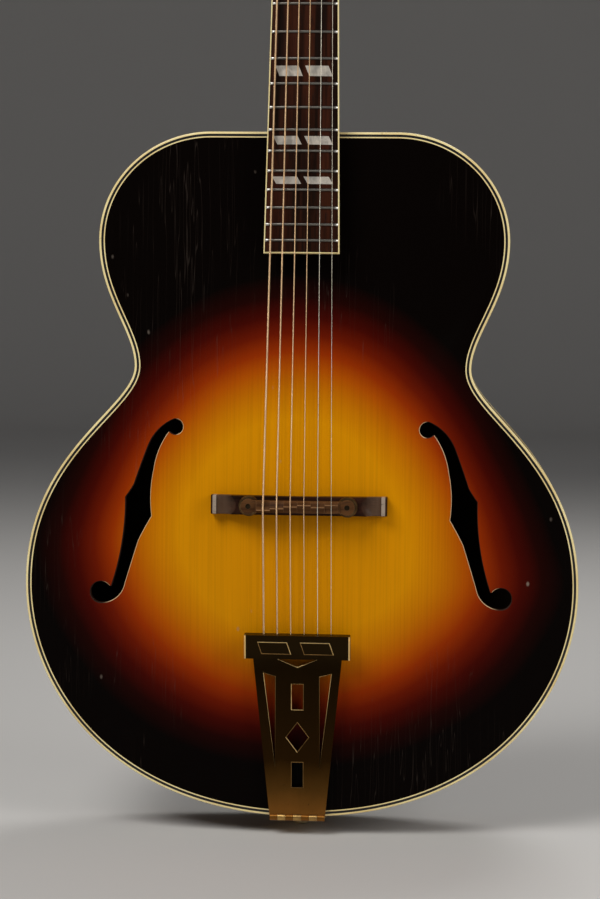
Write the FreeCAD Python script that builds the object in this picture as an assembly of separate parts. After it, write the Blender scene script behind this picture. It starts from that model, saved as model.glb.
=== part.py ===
"""Archtop guitar: carved hollow body, set neck, floating bridge, hinged tailpiece, open-geared tuners.

Frame: +Z runs up the neck, the front faces -Y and +X is the treble side.
The origin is the tip of the end pin, on its axis. Lengths are millimetres and angles are degrees.
"""
import FreeCAD
import Part
import bisect
import math
import os

Vector = FreeCAD.Vector
X_AXIS = Vector(1, 0, 0)
Y_AXIS = Vector(0, 1, 0)
Z_AXIS = Vector(0, 0, 1)

# Fits
GLUE_GAP = 0.05
CURVED_GAP = 0.3
RUNNING_FIT = 0.1
SLIP_FIT = 0.06

# Body outline, stations measured up from the tail
BODY_LENGTH = 533.4
LOWER_BOUT = 431.8
WAIST = 261.6
UPPER_BOUT = 318.4
LOWER_BOUT_STATION = 181.6
WAIST_BELOW_UPPER_BOUT = 97.8
SHOULDER_DROP = 84.0
SHOULDER_RUN = 87.4

# Length of the tangent handles that shape each curve of the outline
TAIL_HANDLE = 143.7
TAIL_FLANK_HANDLE = 88.3
LOWER_FLANK_HANDLE = 102.6
WAIST_LOWER_HANDLE = 32.9
WAIST_UPPER_HANDLE = 26.9
UPPER_FLANK_HANDLE = 44.4
QUARTER_CIRCLE_HANDLE = 0.5523
OUTLINE_STEPS = 8

# Plates, ribs and what holds them together
RIB_DEPTH = 76.0
RIB_THICKNESS = 2.5
RIB_INSET = 0.4
TOP_EDGE = 6.0
BACK_EDGE = 5.0
TOP_ARCH = 18.0
BACK_ARCH = 16.0
TOP_THICKNESS = 5.5
BACK_THICKNESS = 5.0
RECURVE_WIDTH = 12.0
ARCH_CENTRE_STATION = 252.0
ARCH_BLEND = 40.0
ARCH_BLEND_STEPS = 4
ARCH_COLUMNS = 21
ARCH_ROWS = 27
HOLLOW_STEP = 1.0
LINING_WIDTH = 6.0
LINING_FOOT = 1.5
LINING_HEIGHT = 14.0
HEAD_BLOCK_WIDTH = 68.0
HEAD_BLOCK_LENGTH = 58.0
TAIL_BLOCK_WIDTH = 62.0
TAIL_BLOCK_LENGTH = 24.0
TONE_BAR_WIDTH = 8.0
TONE_BAR_HEIGHT = 13.0
TONE_BAR_LOW = (48.0, 110.0)
TONE_BAR_HIGH = (36.0, 430.0)

# Edge trim
BINDING = 2.2
BLACK_LINE = 1.3
CREAM_LINE = 1.0
PURFLING_DEPTH = 1.6

# Sound holes on the treble side: places as shares of the lower bout and of the body length
UPPER_EYE = (0.2263, 0.5718)
UPPER_EYE_RADIUS = 6.0
LOWER_EYE = (0.3613, 0.3270)
LOWER_EYE_RADIUS = 8.4
STEM_OUTER_TOP = (0.2290, 0.5829)
STEM_OUTER_BEND = (0.2668, 0.5596)
STEM_OUTER_SHOULDER = (0.2879, 0.5184)
STEM_OUTER_MIDDLE = (0.3020, 0.4687)
STEM_OUTER_HIP = (0.3184, 0.4068)
STEM_OUTER_LOW = (0.3289, 0.3703)
STEM_OUTER_END = (0.3423, 0.3360)
STEM_INNER_START = (0.3590, 0.3114)
STEM_INNER_BEND = (0.3298, 0.3206)
STEM_INNER_HIP = (0.3073, 0.3598)
STEM_INNER_LOW = (0.2904, 0.4094)
STEM_INNER_MIDDLE = (0.2779, 0.4612)
STEM_INNER_HIGH = (0.2684, 0.5000)
STEM_INNER_SHOULDER = (0.2624, 0.5247)
STEM_INNER_TURN = (0.2538, 0.5465)
STEM_INNER_END = (0.2388, 0.5645)
OUTER_NOTCH = ((0.2969, 0.4837), (0.3159, 0.4683), (0.3075, 0.4499))
INNER_NOTCH = ((0.2825, 0.4612), (0.2686, 0.4424), (0.2872, 0.4256))

# Strings, from the lowest to the highest
STRING_DIAMETERS = (1.42, 1.17, 0.91, 0.66, 0.43, 0.33)
SCALE_LENGTH = 647.7
SADDLE_SPREAD = 52.0
NUT_SPREAD = 36.0
SADDLE_ACTION = 5.3
NUT_ACTION = 1.3
STRING_BEND_RADIUS = 6.0
STRING_REST_GAP = 0.03
BALL_RADIUS = 1.9
WRAP_TURNS = 2.5
WRAP_GAP = 0.5

# Neck and fingerboard
FRET_COUNT = 20
JOINT_FRET = 14
NECK_ANGLE = 4.0
BOARD_RISE = 17.0
BOARD_THICKNESS = 6.0
BOARD_RADIUS = 305.0
BOARD_NUT_WIDTH = 43.0
BOARD_END_WIDTH = 58.2
BOARD_OVERHANG = 10.0
BOARD_BINDING = 1.5
FRET_WIDTH = 2.1
FRET_HEIGHT = 1.1
FRET_END_INSET = 0.9
INLAY_FRETS = (1, 3, 5, 7, 9, 12, 15, 17)
INLAY_MARGIN = 6.4
INLAY_GAP = 5.0
INLAY_SKEW = 3.3
INLAY_DEPTH = 1.5
INLAY_CLEARANCE = 1.6
NECK_NUT_DEPTH = 15.0
NECK_HEEL_DEPTH = 18.0
TONGUE_SETBACK = 8.0
TONGUE_INSET = 2.0
TONGUE_LAP = 6.0
HEEL_TOP_WIDTH = 46.0
HEEL_FOOT_WIDTH = 22.0
HEEL_TOP_LENGTH = 72.0
HEEL_FOOT_LENGTH = 23.0
HEEL_TOP_LEVEL = 9.0
HEEL_CAP = 3.0
HEEL_SLICES = 5
HEEL_SWEEP = 2.5
HEEL_STRAIGHT_SHARE = 0.33
HEEL_BOW_STEPS = 8
TENON_MOUTH = 26.0
TENON_ROOT = 34.0
TENON_LENGTH = 22.0
TENON_TOP_COVER = 6.0
TENON_END_COVER = 10.0
NUT_LENGTH = 5.0
NUT_LAND = 1.6
NUT_SHOULDER = 1.0
NUT_BEVEL = 20.0
TRUSS_ROD_RADIUS = 3.0
TRUSS_ROD_LEVEL = 6.5
TRUSS_ROD_FOOT = 40.0
TRUSS_NUT_RADIUS = 3.6
TRUSS_NUT_LENGTH = 12.0

# Headstock
HEAD_TILT = 15.0
HEAD_LENGTH = 182.0
HEAD_THICKNESS = 14.0
HEAD_FLARE_STATION = 36.0
HEAD_FLARE_WIDTH = 72.0
HEAD_FLARE_BOW = (0.3, 0.58)
HEAD_TOP_STATION = 150.0
HEAD_TOP_WIDTH = 87.0
HEAD_CORNER_STATION = 171.0
HEAD_CORNER_WIDTH = 76.0
HEAD_CORNER_BULGE = 2.0
OVERLAY = 1.2
COVER_START = 5.0
COVER_LENGTH = 36.0
COVER_WIDTH = 22.0
COVER_TIP_WIDTH = 12.0
COVER_THICKNESS = 1.6

# Tuners
TUNER_FIRST = 44.0
TUNER_SPACING = 43.0
POST_OFFSET = 27.0
POST_RADIUS = 3.175
POST_WAIST_RADIUS = 2.7
POST_HEIGHT = 12.5
POST_HEAD = 1.5
POST_TAPER = 1.0
POST_SHOULDER = 0.5
POST_HOLE_RADIUS = 0.9
POST_HOLE_DROP = 4.0
WRAP_START = 3.4
BUSHING_RADIUS = 5.2
BUSHING_FLANGE = 1.2
BUSHING_DEPTH = 6.0
BUSHING_WALL = 1.0
GEAR_TEETH = 12
GEAR_MODULE = 0.9
GEAR_WIDTH = 4.0
GEAR_LIFT = 1.8
GEAR_SCREW_RADIUS = 2.3
GEAR_SCREW_HEAD = 1.4
GEAR_SCREW_SLOT = 0.7
TOOTH_THICKNESS = 0.9
TOOTH_ROOT_SHARE = 1.5
TOOTH_TIP_SHARE = 0.6
TOOTH_DEPTH = 1.125
TOOTH_HEIGHT = 0.63
WORM_PITCH_RADIUS = 2.4
WORM_LENGTH = 9.0
WORM_TURNS = 2.8
THREAD_ROOT = 1.0
THREAD_TIP = 0.55
SHAFT_RADIUS = 1.6
THREAD_SEAT_RADIUS = 1.3
COLLAR_RADIUS = 3.0
COLLAR_REACH = 2.5
TUNER_PLATE = 1.2
EAR_THICKNESS = 2.4
EAR_WIDTH = 6.0
EAR_GAP = 0.2
PLATE_MARGIN = 8.5
BUTTON_OFFSET = 22.0
BUTTON_LENGTH = 14.0
BUTTON_WIDTH = 19.0
BUTTON_THICKNESS = 6.0
BUTTON_ROUND = 2.0
SCREW_HEAD_RADIUS = 1.8
SCREW_HEAD = 1.0
SCREW_BORE_RADIUS = 0.9

# Bridge
BRIDGE_LENGTH = 135.6
BRIDGE_WIDTH = 14.5
SCOOP_RADIUS = 9.0
SCOOP_START = 47.0
SCOOP_DEPTH = 6.5
FOOT_RELIEF_WIDTH = 34.0
FOOT_RELIEF_DEPTH = 3.0
STUD_SPACING = 75.6
STUD_RADIUS = 2.0
STUD_ANCHOR = 5.0
STUD_TIP_DROP = 1.0
WHEEL_RADIUS = 8.0
WHEEL_THICKNESS = 3.0
WHEEL_CHAMFER = 0.375
LOWERING_ROOM = 1.2
SADDLE_HEIGHT = 10.7
SADDLE_WIDTH = 9.0
SADDLE_END_RADIUS = 5.8
SADDLE_END_HEIGHT = 6.0
CREST_HEIGHT = 2.6
CREST_LAND = 0.8
COMPENSATION = (-2.4, -1.0, 0.4, 1.6, 0.2, 2.0)

# Tailpiece, hinge and end pin
TAILPIECE_TILT = 7.0
PLATE_THICKNESS = 1.8
PLATE_FOOT_WIDTH = 43.2
PLATE_TOP_WIDTH = 69.4
BAR_WIDTH = 81.6
BAR_START = 129.5
BAR_HEIGHT = 18.6
BAR_FRONT = 6.5
BAR_WALL = 2.4
BAR_TOP_WALL = 4.0
STRING_HOLE_RADIUS = 1.3
EMBLEM_WIDTH = 23.0
EMBLEM_HEIGHT = 9.7
EMBLEM_SKEW = 3.3
EMBLEM_RISE = 0.8
EMBLEM_STARTS = (-30.7, 2.2)
EMBLEM_DROP = 4.9
NOTCH_WIDTH = 37.3
NOTCH_DEPTH = 7.7
WINDOW_INNER = 17.3
WINDOW_OUTER = 26.1
WINDOW_TOP = 116.5
WINDOW_INNER_TOP = 114.0
WINDOW_FOOT = 40.5
SLOT_WIDTH = 8.8
UPPER_SLOT = (87.8, 108.0)
LOWER_SLOT = (24.8, 45.0)
DIAMOND_CENTRE = 65.4
DIAMOND_WIDTH = 17.2
DIAMOND_HEIGHT = 23.4
KNUCKLES = 7
KNUCKLE_RADIUS = 2.7
KNUCKLE_GAP = 0.2
HINGE_PIN_RADIUS = 1.2
HINGE_STANDOFF = 0.5
BRACKET_THICKNESS = 1.5
BRACKET_GAP = 0.3
BRACKET_BACK = 26.0
BRACKET_SCREW_ACROSS = 14.0
BRACKET_SCREW_ALONG = (-20.0, 18.0)
BRACKET_SCREW_RADIUS = 1.6
BRACKET_SCREW_LENGTH = 16.0
BRACKET_SCREW_HEAD = 3.4
BRACKET_SCREW_DOME = 1.3
PIN_TIP_RADIUS = 4.4
PIN_RADIUS = 7.5
PIN_DOME = 3.2
PIN_DOME_BOW = (0.72, 0.4)
PIN_RIM = 3.5
PIN_NECK = 4.3
PIN_NECK_RADIUS = 4.8
PIN_FLANGE = 1.5
PIN_FLANGE_RADIUS = 7.0
PIN_SHANK_RADIUS = 4.5
PIN_SHANK = 20.0

# Levels and stations that follow from the sizes above
PIN_HEAD_HEIGHT = PIN_DOME + PIN_RIM + PIN_NECK + PIN_FLANGE
TAIL_Z = PIN_HEAD_HEIGHT + GLUE_GAP + BRACKET_THICKNESS + BRACKET_GAP
JOINT_Z = TAIL_Z + BODY_LENGTH
UPPER_BOUT_STATION = BODY_LENGTH - SHOULDER_DROP
WAIST_STATION = UPPER_BOUT_STATION - WAIST_BELOW_UPPER_BOUT
TOP_GLUE = -RIB_DEPTH / 2
BACK_GLUE = RIB_DEPTH / 2
TOP_RIM = TOP_GLUE - TOP_EDGE
BACK_RIM = BACK_GLUE + BACK_EDGE
LINING_INSET = RIB_INSET + RIB_THICKNESS + GLUE_GAP
HOLLOW_INSET = LINING_INSET + LINING_WIDTH + 2 * HOLLOW_STEP
RIM_MARGIN = 10.0


def fret_distance(fret):
    """Distance from the nut to a fret in equal temperament."""
    return SCALE_LENGTH * (1 - 2 ** (-fret / 12))


NECK_TO_NUT = fret_distance(JOINT_FRET)
BOARD_TAIL = NECK_TO_NUT - fret_distance(FRET_COUNT) - BOARD_OVERHANG
HEAD_START = NECK_TO_NUT + GLUE_GAP + NUT_LENGTH + GLUE_GAP
NECK_TOP_Y = TOP_RIM - BOARD_RISE + BOARD_THICKNESS
NECK_FRAME = FreeCAD.Placement(Vector(0, NECK_TOP_Y, JOINT_Z), FreeCAD.Rotation(X_AXIS, -NECK_ANGLE))
HEAD_FRAME = NECK_FRAME.multiply(
    FreeCAD.Placement(Vector(0, 0, HEAD_START), FreeCAD.Rotation(X_AXIS, -HEAD_TILT))
)
HINGE_Y = TOP_RIM - HINGE_STANDOFF - KNUCKLE_RADIUS
TAIL_FRAME = FreeCAD.Placement(Vector(0, HINGE_Y, TAIL_Z), FreeCAD.Rotation(X_AXIS, TAILPIECE_TILT))


# General helpers


def placed(shape, frame):
    """Copy of a shape moved from a local frame into the guitar's frame."""
    moved = shape.copy()
    moved.Placement = frame.multiply(shape.Placement)
    return moved


def shifted(shape, x=0.0, y=0.0, z=0.0):
    """Copy of a shape moved by an offset."""
    return placed(shape, FreeCAD.Placement(Vector(x, y, z), FreeCAD.Rotation()))


def mirrored(shape):
    """The shape on the other side of the centre line."""
    return shape.mirror(Vector(0, 0, 0), X_AXIS)


def both_sides(shape):
    """A shape and its mirror image."""
    return [shape, mirrored(shape)]


def box(x_range, y_range, z_range):
    """Box between two corners."""
    low = Vector(x_range[0], y_range[0], z_range[0])
    return Part.makeBox(
        x_range[1] - x_range[0], y_range[1] - y_range[0], z_range[1] - z_range[0], low
    )


def plan_prism(points, y_range):
    """Polygon given as (x, z) points, extruded along Y."""
    corners = [Vector(x, y_range[0], z) for x, z in points]
    outline = Part.makePolygon(corners + corners[:1])
    return Part.Face(outline).extrude(Vector(0, y_range[1] - y_range[0], 0))


def side_prism(points, x_range):
    """Polygon given as (y, z) points, extruded along X."""
    corners = [Vector(x_range[0], y, z) for y, z in points]
    outline = Part.makePolygon(corners + corners[:1])
    return Part.Face(outline).extrude(Vector(x_range[1] - x_range[0], 0, 0))


def cylinder_y(radius, x, z, y_range):
    """Cylinder along Y."""
    return Part.makeCylinder(radius, y_range[1] - y_range[0], Vector(x, y_range[0], z), Y_AXIS)


def cylinder_x(radius, y, z, x_range):
    """Cylinder along X."""
    return Part.makeCylinder(radius, x_range[1] - x_range[0], Vector(x_range[0], y, z), X_AXIS)


def cylinder_z(radius, x, y, z_range):
    """Cylinder along Z."""
    return Part.makeCylinder(radius, z_range[1] - z_range[0], Vector(x, y, z_range[0]), Z_AXIS)


def arc(start, middle, end):
    """Edge of a circular arc through three points."""
    return Part.Arc(start, middle, end).toShape()


def line(start, end):
    """Straight edge."""
    return Part.LineSegment(start, end).toShape()


def fused(shapes):
    """Union of overlapping shapes, without leftover seams."""
    return shapes[0].fuse(shapes[1:]).removeSplitter()


# Body outline


def bezier(points, share):
    """Point and direction on a cubic Bezier curve."""
    (ax, az), (bx, bz), (cx, cz), (dx, dz) = points
    rest = 1 - share
    weights = (rest ** 3, 3 * rest ** 2 * share, 3 * rest * share ** 2, share ** 3)
    slopes = (3 * rest ** 2, 6 * rest * share, 3 * share ** 2)
    x = weights[0] * ax + weights[1] * bx + weights[2] * cx + weights[3] * dx
    z = weights[0] * az + weights[1] * bz + weights[2] * cz + weights[3] * dz
    run = slopes[0] * (bx - ax) + slopes[1] * (cx - bx) + slopes[2] * (dx - cx)
    rise = slopes[0] * (bz - az) + slopes[1] * (cz - bz) + slopes[2] * (dz - cz)
    return x, z, run, rise


def outline_curves():
    """Four curves from the middle of the tail to the end of the treble shoulder."""
    lower = (LOWER_BOUT / 2, LOWER_BOUT_STATION)
    waist = (WAIST / 2, WAIST_STATION)
    upper = (UPPER_BOUT / 2, UPPER_BOUT_STATION)
    shoulder = (UPPER_BOUT / 2 - SHOULDER_RUN, BODY_LENGTH)
    tail_bow = [(0, 0), (TAIL_HANDLE, 0), (lower[0], lower[1] - TAIL_FLANK_HANDLE), lower]
    lower_flank = [
        lower,
        (lower[0], lower[1] + LOWER_FLANK_HANDLE),
        (waist[0], waist[1] - WAIST_LOWER_HANDLE),
        waist,
    ]
    upper_flank = [
        waist,
        (waist[0], waist[1] + WAIST_UPPER_HANDLE),
        (upper[0], upper[1] - UPPER_FLANK_HANDLE),
        upper,
    ]
    corner = [
        upper,
        (upper[0], upper[1] + QUARTER_CIRCLE_HANDLE * SHOULDER_DROP),
        (shoulder[0] + QUARTER_CIRCLE_HANDLE * SHOULDER_RUN, shoulder[1]),
        shoulder,
    ]
    return [tail_bow, lower_flank, upper_flank, corner]


def inset_station(curve, share, inset):
    """Point on one curve of the outline, moved inwards by an inset, and the direction there."""
    x, z, run, rise = bezier(curve, share)
    length = math.hypot(run, rise)
    point = (x - inset * rise / length, TAIL_Z + z + inset * run / length)
    return point, (run / length, rise / length)


def inset_stations(curve, inset):
    """Evenly spread points and directions along one curve of the outline."""
    return [inset_station(curve, step / OUTLINE_STEPS, inset) for step in range(OUTLINE_STEPS + 1)]


def outline_edge(curve, inset, y):
    """Edge of one curve of the outline at one level."""
    stations = inset_stations(curve, inset)
    points = [Vector(x, y, z) for (x, z), direction in stations]
    tangents = [Vector(run, 0, rise) for point, (run, rise) in stations]
    spline = Part.BSplineCurve()
    spline.interpolate(Points=points, InitialTangent=tangents[0], FinalTangent=tangents[-1])
    return spline.toShape()


def outline_wire(inset, y):
    """Closed outline of the body at one level."""
    treble = [outline_edge(curve, inset, y) for curve in outline_curves()]
    shoulder = treble[-1].Vertexes[-1].Point
    top = line(shoulder, Vector(-shoulder.x, y, shoulder.z))
    bass = [mirrored(edge) for edge in reversed(treble)]
    return Part.Wire(treble + [top] + bass)


def outline_prism(inset, y_range):
    """Solid of the outline between two levels."""
    return Part.Face(outline_wire(inset, y_range[0])).extrude(Vector(0, y_range[1] - y_range[0], 0))


def outline_ring(outer_inset, inner_inset, y_range):
    """Band that follows the outline between two insets."""
    return tapered_ring(outer_inset, inner_inset, inner_inset, y_range)


def tapered_ring(outer_inset, start_inset, end_inset, y_range):
    """Band that follows the outline, its inner wall leaning from one inset to another."""
    start, end = y_range
    outer = [outline_wire(outer_inset, level) for level in (start, end)]
    inner = [outline_wire(start_inset, start), outline_wire(end_inset, end)]
    ends = [Part.Face([outer[index], inner[index]]) for index in (0, 1)]
    walls = [Part.makeLoft(wires, False, True) for wires in (outer, inner)]
    shell = Part.makeShell(ends + walls[0].Faces + walls[1].Faces)
    solid = Part.makeSolid(shell)
    solid.fix(GLUE_GAP / 100, GLUE_GAP / 100, GLUE_GAP / 100)
    return solid


# Carved arches


def arch_profile(inset):
    """Polar angles and radii of the outline about the centre of the arch."""
    centre = TAIL_Z + ARCH_CENTRE_STATION
    points = []
    for curve in outline_curves():
        points += [point for point, direction in inset_stations(curve, inset)[:-1]]
    shoulder, direction = inset_station(outline_curves()[-1], 1.0, inset)
    points += [shoulder, (0.0, shoulder[1])]
    polar = [(math.atan2(z - centre, x), math.hypot(x, z - centre)) for x, z in points]
    return [angle for angle, radius in polar], [radius for angle, radius in polar]


def arch_reach(profile, angle):
    """Distance from the centre of the arch to the outline in one direction."""
    angles, radii = profile
    folded = math.asin(math.sin(angle))
    after = min(max(bisect.bisect_left(angles, folded), 1), len(angles) - 1)
    span = angles[after] - angles[after - 1]
    share = (folded - angles[after - 1]) / span
    return radii[after - 1] + share * (radii[after] - radii[after - 1])


def arch_height(profile, x, z):
    """Height share of the arch: 1 in the middle, falling along a cosine square to 0 at the outline.

    Near the middle the reach is averaged over neighbouring directions, so the waist leaves no crease.
    """
    rise = z - TAIL_Z - ARCH_CENTRE_STATION
    angle = math.atan2(rise, abs(x))
    reach = arch_reach(profile, angle)
    steps = range(-ARCH_BLEND_STEPS, ARCH_BLEND_STEPS + 1)
    turns = [math.radians(ARCH_BLEND * step / ARCH_BLEND_STEPS) for step in steps]
    smooth = sum(arch_reach(profile, angle + turn) for turn in turns) / len(turns)
    nearness = min(math.hypot(x, rise) / reach, 1.0) ** 3
    fraction = min(math.hypot(x, rise) / (smooth + nearness * (reach - smooth)), 1.0)
    return math.cos(fraction * math.pi / 2) ** 2


def arch_face(level, height, inset):
    """Smooth arched face that stands off a level by a signed height."""
    profile = arch_profile(inset)
    half_width = LOWER_BOUT / 2 + RIM_MARGIN
    low = TAIL_Z - RIM_MARGIN
    length = BODY_LENGTH + 2 * RIM_MARGIN
    grid = []
    for column in range(ARCH_COLUMNS):
        x = half_width * (2 * column / (ARCH_COLUMNS - 1) - 1)
        stations = [low + length * row / (ARCH_ROWS - 1) for row in range(ARCH_ROWS)]
        grid.append([Vector(x, level + height * arch_height(profile, x, z), z) for z in stations])
    surface = Part.BSplineSurface()
    surface.interpolate(grid)
    return surface.toShape()


TOP_MASS = arch_face(TOP_RIM, -TOP_ARCH, RECURVE_WIDTH).extrude(Vector(0, RIB_DEPTH, 0))
BACK_MASS = arch_face(BACK_RIM, BACK_ARCH, RECURVE_WIDTH).extrude(Vector(0, -RIB_DEPTH, 0))
TOP_CEILING = arch_face(
    TOP_GLUE - HOLLOW_STEP, -(TOP_EDGE + TOP_ARCH - TOP_THICKNESS - HOLLOW_STEP), HOLLOW_INSET
)
BACK_FLOOR = arch_face(
    BACK_GLUE + HOLLOW_STEP, BACK_EDGE + BACK_ARCH - BACK_THICKNESS - HOLLOW_STEP, HOLLOW_INSET
)


def block_boxes(margin):
    """Space taken by the head and tail blocks, through the full depth of the body."""
    depth = (TOP_RIM - TOP_ARCH, BACK_RIM + BACK_ARCH)
    head_half = HEAD_BLOCK_WIDTH / 2 + margin
    tail_half = TAIL_BLOCK_WIDTH / 2 + margin
    head = box((-head_half, head_half), depth, (JOINT_Z - HEAD_BLOCK_LENGTH - margin, JOINT_Z))
    tail = box((-tail_half, tail_half), depth, (TAIL_Z, TAIL_Z + TAIL_BLOCK_LENGTH + margin))
    return head, tail


def hollow(ceiling, level, direction):
    """Space carved out of a plate, leaving flat pads for the blocks."""
    depth = RIB_DEPTH / 2
    mass = ceiling.extrude(Vector(0, -direction * depth, 0))
    limits = sorted((level - direction * HOLLOW_STEP, level + direction * depth))
    return outline_prism(HOLLOW_INSET, limits).common(mass).cut(list(block_boxes(HOLLOW_STEP)))


# Sound holes


def body_place(point):
    """Place in the front view of a point given as shares of the lower bout and of the body length."""
    across, along = point
    return across * LOWER_BOUT, TAIL_Z + along * BODY_LENGTH


def body_point(point):
    """Point on the centre plane of the body, given as shares."""
    x, z = body_place(point)
    return Vector(x, 0, z)


def sound_hole():
    """Cutter for the treble sound hole: a stem of arcs, two eyes and two notches."""
    arcs = [
        (STEM_OUTER_TOP, STEM_OUTER_BEND, STEM_OUTER_SHOULDER),
        (STEM_OUTER_SHOULDER, STEM_OUTER_MIDDLE, STEM_OUTER_HIP),
        (STEM_OUTER_HIP, STEM_OUTER_LOW, STEM_OUTER_END),
        (STEM_INNER_START, STEM_INNER_BEND, STEM_INNER_HIP),
        (STEM_INNER_HIP, STEM_INNER_LOW, STEM_INNER_MIDDLE),
        (STEM_INNER_MIDDLE, STEM_INNER_HIGH, STEM_INNER_SHOULDER),
        (STEM_INNER_SHOULDER, STEM_INNER_TURN, STEM_INNER_END),
    ]
    edges = [arc(*[body_point(point) for point in points]) for points in arcs]
    edges.insert(3, line(body_point(STEM_OUTER_END), body_point(STEM_INNER_START)))
    edges.append(line(body_point(STEM_INNER_END), body_point(STEM_OUTER_TOP)))
    front = TOP_RIM - TOP_ARCH - RIM_MARGIN
    through = (front, 0.0)
    stem = shifted(Part.Face(Part.Wire(edges)).extrude(Vector(0, -front, 0)), y=front)
    upper_eye = cylinder_y(UPPER_EYE_RADIUS, *body_place(UPPER_EYE), through)
    lower_eye = cylinder_y(LOWER_EYE_RADIUS, *body_place(LOWER_EYE), through)
    notches = [
        plan_prism([body_place(point) for point in notch], through) for notch in (OUTER_NOTCH, INNER_NOTCH)
    ]
    return fused([stem, upper_eye, lower_eye] + notches)


# Body pieces


def top_plate():
    """Carved spruce top with its two sound holes."""
    inset = BINDING + GLUE_GAP
    front = TOP_RIM - TOP_ARCH - HOLLOW_STEP
    plate = outline_prism(inset, (front, TOP_GLUE - GLUE_GAP)).common(TOP_MASS)
    channel = BINDING + BLACK_LINE + CREAM_LINE + 3 * GLUE_GAP
    rabbet = outline_ring(0.0, channel, (front, TOP_RIM + PURFLING_DEPTH + GLUE_GAP))
    cavity = hollow(TOP_CEILING, TOP_GLUE, -1)
    return plate.cut([rabbet, cavity] + both_sides(sound_hole()))


def back_plate():
    """Carved maple back."""
    inset = BINDING + GLUE_GAP
    rear = BACK_RIM + BACK_ARCH + HOLLOW_STEP
    plate = outline_prism(inset, (BACK_GLUE + GLUE_GAP, rear)).common(BACK_MASS)
    return plate.cut(hollow(BACK_FLOOR, BACK_GLUE, 1))


def tenon(clearance):
    """Dovetail that holds the neck in the head block, wider at its root than at its mouth."""
    mouth = TENON_MOUTH / 2 + clearance
    root = TENON_ROOT / 2 + clearance
    floor = JOINT_Z - TENON_LENGTH - clearance
    plan = [(-mouth, JOINT_Z + RIM_MARGIN), (-mouth, JOINT_Z), (-root, floor)]
    plan += [(-x, z) for x, z in reversed(plan)]
    return plan_prism(
        plan, (TOP_GLUE + TENON_TOP_COVER - clearance, BACK_GLUE - TENON_END_COVER + clearance)
    )


def end_pin_bore():
    """Hole for the shank of the end pin."""
    return cylinder_z(PIN_SHANK_RADIUS + SLIP_FIT, 0, 0, (0, TAIL_Z + PIN_SHANK + RIM_MARGIN))


def bracket_screw_bores():
    """Holes for the tailpiece bracket's screws."""
    radius = BRACKET_SCREW_RADIUS + SLIP_FIT
    top = TAIL_Z + BRACKET_SCREW_LENGTH
    return [cylinder_z(radius, x, y, (0, top)) for x, y in bracket_screw_places()]


def bracket_screw_places():
    """Where the bracket's screws stand, as (x, y)."""
    across = (-BRACKET_SCREW_ACROSS, BRACKET_SCREW_ACROSS)
    return [(x, y) for x in across for y in BRACKET_SCREW_ALONG]


def treble_half():
    """Everything of the body on the treble side of its centre seam."""
    return box((GLUE_GAP, LOWER_BOUT), (TOP_GLUE, BACK_GLUE), (0, JOINT_Z + RIM_MARGIN))


def ribs():
    """Bent maple sides, joined at the tail and stopped at the neck's tenon."""
    band = outline_ring(
        RIB_INSET, RIB_INSET + RIB_THICKNESS, (TOP_GLUE + GLUE_GAP, BACK_GLUE - GLUE_GAP)
    )
    treble = band.common(treble_half()).cut([tenon(GLUE_GAP), end_pin_bore()] + bracket_screw_bores())
    return mirrored(treble), treble


def blocks():
    """Head block with the neck's mortise, and tail block with the pin and screw holes."""
    inner = outline_prism(LINING_INSET, (TOP_GLUE + GLUE_GAP, BACK_GLUE - GLUE_GAP))
    head, tail = block_boxes(0.0)
    head_block = inner.common(head).cut(tenon(GLUE_GAP))
    tail_block = inner.common(tail).cut([end_pin_bore()] + bracket_screw_bores())
    return head_block, tail_block


def lining(level, direction):
    """Tapered strips in the corner between a plate and the ribs, stopped at the blocks."""
    start = level + direction * GLUE_GAP
    end = level + direction * LINING_HEIGHT
    wide = LINING_INSET + LINING_WIDTH
    narrow = LINING_INSET + LINING_FOOT
    strip = tapered_ring(LINING_INSET, wide, narrow, (start, end)).common(treble_half())
    return both_sides(strip.cut(list(block_boxes(GLUE_GAP))))


def tone_bars():
    """Two splayed spruce bars glued under the top."""
    low_x, low_station = TONE_BAR_LOW
    high_x, high_station = TONE_BAR_HIGH
    half = TONE_BAR_WIDTH / 2
    plan = [
        (low_x - half, TAIL_Z + low_station),
        (low_x + half, TAIL_Z + low_station),
        (high_x + half, TAIL_Z + high_station),
        (high_x - half, TAIL_Z + high_station),
    ]
    strip = plan_prism(plan, (TOP_RIM - TOP_ARCH, BACK_GLUE))
    slab = shifted(TOP_CEILING, y=CURVED_GAP).extrude(Vector(0, TONE_BAR_HEIGHT, 0))
    return both_sides(strip.common(slab))


def edge_trim():
    """Bindings of both plates and the two lines inside the top binding."""
    black = BINDING + GLUE_GAP
    cream = black + BLACK_LINE + GLUE_GAP
    line_levels = (TOP_RIM, TOP_RIM + PURFLING_DEPTH)
    return {
        "top_binding": outline_ring(0.0, BINDING, (TOP_RIM, TOP_GLUE)),
        "back_binding": outline_ring(0.0, BINDING, (BACK_GLUE, BACK_RIM)),
        "top_purfling_black": outline_ring(black, black + BLACK_LINE, line_levels),
        "top_purfling_cream": outline_ring(cream, cream + CREAM_LINE, line_levels),
    }


# Neck


def board_width(z):
    """Width of the fingerboard at a height of the neck's frame."""
    share = (NECK_TO_NUT - z) / (NECK_TO_NUT - BOARD_TAIL)
    return BOARD_NUT_WIDTH + share * (BOARD_END_WIDTH - BOARD_NUT_WIDTH)


def board_plan(inset, low):
    """Tapered outline of the fingerboard down to a given height."""
    foot = board_width(low) / 2 - inset
    head = board_width(NECK_TO_NUT) / 2 - inset
    return [(-foot, low), (foot, low), (head, NECK_TO_NUT), (-head, NECK_TO_NUT)]


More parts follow.
